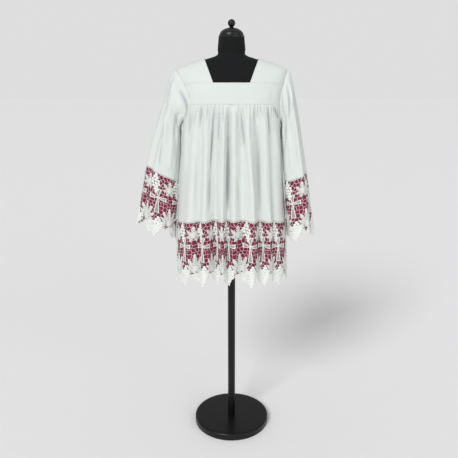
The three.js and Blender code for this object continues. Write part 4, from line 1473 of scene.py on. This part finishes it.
def make_sleeve(name, side, settings):
    rows, columns = SLEEVE_GRID
    row_s = eased(0, SLEEVE_SEAM - CUFF_SEAM, rows, 0.7)
    u, s = np.meshgrid(np.arange(columns) / columns, row_s)
    points = sleeve_surface(u, s, side)
    place, fallen = (1 - u if side > 0 else u) * SLEEVE_ROUND, s * SLEEVE_STEP
    creases = LEFT_SLEEVE_CREASES if side > 0 else RIGHT_SLEEVE_CREASES
    stretch = [SLEEVE_ROUND, SLEEVE_STEP, SLEEVE_ROUND, SLEEVE_STEP, 1, 1]
    on_cloth = Table("x z toX toZ wide deep", *(creases.rows * stretch))
    inner = 1 - np.exp(-(((u - 0.5) / UNDER_SLEEVE) ** 2))
    held = ramp(s / 0.3) * ramp((SLEEVE_SEAM - s) / 0.6) * inner
    proud = np.zeros(u.shape)
    for shift in (-SLEEVE_ROUND, 0, SLEEVE_ROUND):
        proud += SLEEVE_DEEPER * creased(place + shift, fallen, on_cloth, settings.crease)
    # Painted shade in the sleeve's creases and a painted highlight on its ridges.
    marks = held * painted_light_marks(proud, 6)
    small = crumple(place, fallen * SLEEVE_CRUMPLE_DRAWN, 41 + side, settings.crumple / MM)
    proud = held * (proud + small * np.sin(math.pi * u) ** 2)
    proud += seam_roll((SLEEVE_SEAM - s) * SLEEVE_STEP) * SEAM_FLATTER * inner
    proud += 0.5 * np.exp(-(((fallen - 2) / 2) ** 2))
    points = points + outward(points, closed=True) * proud[..., None]
    stitches = np.interp(SLEEVE_STITCHES, row_s * SLEEVE_STEP, np.arange(rows))
    lines = [(0, row) for row in stitches]
    return put_cloth(name, points, cotton(settings), "cotton", closed=True, sewn=lines, marks=marks)


def make_lining(name, border, way, settings):
    """The lining behind a lace border: shorter, sunk in, and closed round a cuff."""
    closed = border is cuff_border
    rows, columns = CUFF_LINING_GRID if closed else HEM_LINING_GRID
    across = np.arange(columns) / columns if closed else inset(columns)
    u, down = np.meshgrid(across, np.linspace(SEAM_GAP, LACE_DROP * LINING_SHARE, rows))
    points = border(u, down, way)
    sunk = CUFF_LINING_SUNK if closed else HEM_LINING_SUNK
    points = points - outward(points, closed) * sunk
    return put_cloth(name, points, satin(settings), "lining", depth=LINING_CLOTH, closed=closed)


# ---- operators ----
class SURPLICE_OT_yoke(Operator):
    """The yoke: a front, a back and two shoulder pieces."""

    bl_idname = "surplice.yoke"
    bl_label = "Yoke"

    def execute(self, context):
        settings = context.scene.surplice_cloth
        for name, face, flat in (("front_yoke", -1, (0.40, 0.085)), ("back_yoke", 1, (0.42, 0.11))):
            piece = make_yoke(name, face, settings)
        for name, side in (("shoulder_left", 1), ("shoulder_right", -1)):
            piece = make_shoulder(name, side, settings)
        return {"FINISHED"}


class SURPLICE_OT_panels(Operator):
    """The front and back panels, gathered into the yoke."""

    bl_idname = "surplice.panels"
    bl_label = "Panels"

    def execute(self, context):
        for name, face, above in (("front_panel", -1, "front_yoke"), ("back_panel", 1, "back_yoke")):
            piece = make_panel(name, face, context.scene.surplice_cloth)
        return {"FINISHED"}


class SURPLICE_OT_sleeves(Operator):
    """The two wide sleeves."""

    bl_idname = "surplice.sleeves"
    bl_label = "Sleeves"

    def execute(self, context):
        for name, side in (("sleeve_left", 1), ("sleeve_right", -1)):
            piece = make_sleeve(name, side, context.scene.surplice_cloth)
        return {"FINISHED"}


class SURPLICE_OT_linings(Operator):
    """The crimson linings behind the lace."""

    bl_idname = "surplice.linings"
    bl_label = "Linings"

    def execute(self, context):
        for name, border, way, flat, above in (
            ("hem_lining_front", panel_border, -1, (0.70, 0.216), "front_panel"),
            ("hem_lining_back", panel_border, 1, (0.68, 0.216), "back_panel"),
            ("cuff_lining_left", cuff_border, 1, (0.44, 0.21), "sleeve_left"),
            ("cuff_lining_right", cuff_border, -1, (0.42, 0.21), "sleeve_right"),
        ):
            piece = make_lining(name, border, way, context.scene.surplice_cloth)
        return {"FINISHED"}


THREAD_SHARE = 0.62  # how much of a border is thread, and not open
HEM_LACE = (0.70, 0.27)
CUFF_LACE = (0.21, 0.26)
HEM_PATTERNS = {
    -1: placed_crosses((-190, 0), (-116, 1), (-10, 3), (75, 4), (191, 6)),
    1: even_repeats(7, 50),
}
CUFF_PHASE = {-1: 0, 1: 30}
CUFF_REPEATS = 2  # in each half of a cuff


class SURPLICE_OT_lace(Operator):
    """The lace borders of the hem and the cuffs."""

    bl_idname = "surplice.lace"
    bl_label = "Lace"

    def execute(self, context):
        settings = context.scene.surplice_cloth
        for name, face, above in (
            ("hem_lace_front", -1, "front_panel"),
            ("hem_lace_back", 1, "back_panel"),
        ):
            ends = (SIDE_INSET, 1 - SIDE_INSET)
            piece = put_lace(name, panel_border, face, ends, HEM_PATTERNS[face], settings)
            area = THREAD_SHARE * HEM_LACE[0] * HEM_LACE[1]
        for name, side, start in (
            ("cuff_lace_left_front", 1, 0.5),
            ("cuff_lace_left_back", 1, 0.0),
            ("cuff_lace_right_front", -1, 0.0),
            ("cuff_lace_right_back", -1, 0.5),
        ):
            ends = (start + CUFF_SPLIT, start + 0.5 - CUFF_SPLIT)
            phase = CUFF_PHASE[side] + 2 * start * CUFF_REPEATS * REPEAT
            piece = put_lace(name, cuff_border, side, ends, even_repeats(CUFF_REPEATS, phase), settings)
            above = "sleeve_left" if side > 0 else "sleeve_right"
            area = THREAD_SHARE * CUFF_LACE[0] * CUFF_LACE[1]
        return {"FINISHED"}


TORSO_GRID = (120, 96)
CAP = {"radius": 50, "edge": 1, "side": 8, "dome": 30}
BALL_RADIUS = 14.5
BALL_SEAT = 8
BALL_CENTRE = 15.5  # above the foot of its neck
POLE_RADIUS = 16
POLE_EDGE = 0.8
BASE = {"radius": 166, "tall": 30, "foot": 120, "edge": 1.5, "shoulder": 7}


def rounded_end(ring, up, drawn_in, inner):
    """Rings that round an end of the torso over, and draw it in towards the axis."""
    rings = []
    for t in np.radians([18, 36, 54, 72, 90]):
        share = 1 - drawn_in * (1 - math.cos(t))
        rings.append(ring * [share, share, 1] + [0, 0, up * math.sin(t)])
    return rings + [rings[-1] * [share, share, 1] for share in inner]


class SURPLICE_OT_form(Operator):
    """The torso, the neck cap and its ball, the pole and the base."""

    bl_idname = "surplice.form"
    bl_label = "Dress form"

    def execute(self, context):
        settings = context.scene.surplice_form
        rows, columns = TORSO_GRID
        turn = np.arange(columns) * TAU / columns
        angles, z = np.meshgrid(turn, np.linspace(NECK_TOP - 2, TORSO_FOOT + 6, rows))
        body = on_section(FORM.at(z), angles)
        top = rounded_end(body[0], 2, 0.03, (0.6, 0.2))
        foot = rounded_end(body[-1], -6, 0.04, (0.7, 0.35, 0.08))
        rings = np.stack([*top[::-1], *body, *foot])
        put_round("form_torso", "_jersey", rings, (NECK_TOP, TORSO_FOOT), jersey(settings), "jersey")

        plastic = hard_finish("black plastic", settings.cap, 0.1)
        z = NECK_TOP + SEAT_GAP
        edge, side = CAP["edge"], z + CAP["side"]
        cap = [(0, z), *corner(CAP["radius"] - edge, z + edge, edge, -90)]
        cap += [*corner(CAP["radius"] - edge, side - edge, edge, 0), (CAP["radius"] - 2.4, side + 0.1)]
        cap += [*arc(CAP["radius"] - 3, CAP["dome"], 0, 84, 15, side), (0, side + CAP["dome"])]
        spin("form_neck_cap", cap, 72, plastic, "cap")

        z = side + CAP["dome"] + SEAT_GAP
        round_part = arc(BALL_RADIUS, BALL_RADIUS, -58, 86, 22, z + BALL_CENTRE)
        ball = [(0, z), (BALL_SEAT, z), *round_part, (0, z + BALL_CENTRE + BALL_RADIUS)]
        spin("form_ball", ball, 48, plastic, "cap")

        steel = hard_finish("black painted steel", settings.stand, 0.05)
        foot, top = BASE["tall"] + SEAT_GAP, TORSO_FOOT - SEAT_GAP
        edge = POLE_EDGE
        pole = [(0, foot), *corner(POLE_RADIUS - edge, foot + edge, edge, -90)]
        pole += [(POLE_RADIUS, z) for z in np.linspace(foot + 60, top - 60, 8)]
        pole += [*corner(POLE_RADIUS - edge, top - edge, edge, 0), (0, top)]
        spin("form_pole", pole, 64, steel, "stand")

        edge, shoulder, tall = BASE["edge"], BASE["shoulder"], BASE["tall"]
        base = [(0, 0), (BASE["foot"], 0), *corner(BASE["radius"] - edge, edge, edge, -90)]
        base += corner(BASE["radius"] - shoulder, tall - shoulder, shoulder, 0, 9)
        base += [(140, tall), (60, tall), (0, tall)]
        spin("form_base", base, 120, steel, "stand")
        return {"FINISHED"}


FLOOR_REACH = 60.0
AMBIENT = 0.42  # the light from all round
BACKDROP = 0.73  # what the camera sees of it
SUNS = (
    ("key", (0.38, 0.72, -0.62), 1.68, 22),
    ("fill", (-0.6, 0.7, -0.35), 0.5, 40),
)
CAMERA = {"place": (0, -2.20, 1.50), "up": 75, "lens": 42.45, "sensor": 36, "shift": -0.0055}


class SURPLICE_OT_stage(Operator):
    """A pale floor, soft studio light and the camera."""

    bl_idname = "surplice.stage"
    bl_label = "Stage"

    def execute(self, context):
        scene = context.scene
        mesh = bpy.data.meshes.new("floor")
        round_it = [(-1, -1), (1, -1), (1, 1), (-1, 1)]
        corners = [(x * FLOOR_REACH, y * FLOOR_REACH, 0) for x, y in round_it]
        mesh.from_pydata(corners, [], [(0, 1, 2, 3)])
        mesh.materials.append(pale_floor(scene.surplice_form))
        floor = bpy.data.objects.new("floor", mesh)
        scene.collection.objects.link(floor)
        floor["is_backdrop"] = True

        world = bpy.data.worlds.new("studio")
        world.use_nodes = True
        background = world.node_tree.nodes["Background"].inputs
        seen = add_node(world.node_tree, "LightPath").outputs["Is Camera Ray"]
        strength = maths(world.node_tree, "MULTIPLY_ADD", seen, BACKDROP - AMBIENT, AMBIENT)
        join(world.node_tree, strength, background["Strength"])
        background["Color"].default_value = (1, 1, 1, 1)
        scene.world = world
        scene.view_settings.view_transform = "Standard"
        for name, towards, energy, angle in SUNS:
            lamp = bpy.data.lights.new(name, "SUN")
            lamp.energy = energy
            lamp.angle = math.radians(angle)
            holder = bpy.data.objects.new(name, lamp)
            holder.rotation_euler = Vector(towards).to_track_quat("-Z", "Y").to_euler()
            scene.collection.objects.link(holder)

        camera = bpy.data.cameras.new("camera")
        camera.lens = CAMERA["lens"]
        camera.sensor_width = CAMERA["sensor"]
        camera.shift_x = CAMERA["shift"]
        camera.clip_end = 200
        eye = bpy.data.objects.new("camera", camera)
        eye.location = CAMERA["place"]
        eye.rotation_euler = (math.radians(CAMERA["up"]), 0, 0)
        scene.collection.objects.link(eye)
        scene.camera = eye
        return {"FINISHED"}


STEPS = (
    SURPLICE_OT_yoke,
    SURPLICE_OT_panels,
    SURPLICE_OT_sleeves,
    SURPLICE_OT_linings,
    SURPLICE_OT_lace,
    SURPLICE_OT_form,
    SURPLICE_OT_stage,
)


class SURPLICE_PT_panel(Panel):
    """Lists the settings and the steps."""

    bl_idname = "SURPLICE_PT_panel"
    bl_label = "Surplice"
    bl_space_type = "VIEW_3D"
    bl_region_type = "UI"
    bl_category = "Surplice"

    def draw(self, context):
        for group in (context.scene.surplice_cloth, context.scene.surplice_form):
            for name in group.bl_rna.properties.keys():
                if name not in ("rna_type", "name"):
                    self.layout.prop(group, name)
        for step in STEPS:
            self.layout.operator(step.bl_idname)


CLASSES = (SURPLICE_PG_cloth, SURPLICE_PG_form, *STEPS, SURPLICE_PT_panel)


def register():
    for cls in CLASSES:
        bpy.utils.register_class(cls)
    bpy.types.Scene.surplice_cloth = PointerProperty(type=SURPLICE_PG_cloth)
    bpy.types.Scene.surplice_form = PointerProperty(type=SURPLICE_PG_form)


def unregister():
    del bpy.types.Scene.surplice_form
    del bpy.types.Scene.surplice_cloth
    for cls in reversed(CLASSES):
        bpy.utils.unregister_class(cls)


def main():
    register()
    bpy.ops.surplice.yoke()
    bpy.ops.surplice.panels()
    bpy.ops.surplice.sleeves()
    bpy.ops.surplice.linings()
    bpy.ops.surplice.lace()
    bpy.ops.surplice.form()
    bpy.ops.surplice.stage()
    boxes = {"cad": CAD_BOX, "visual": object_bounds()}
    sizes = {name: [list(corner) for corner in box] for name, box in boxes.items()}


if __name__ == "__main__":
    main()
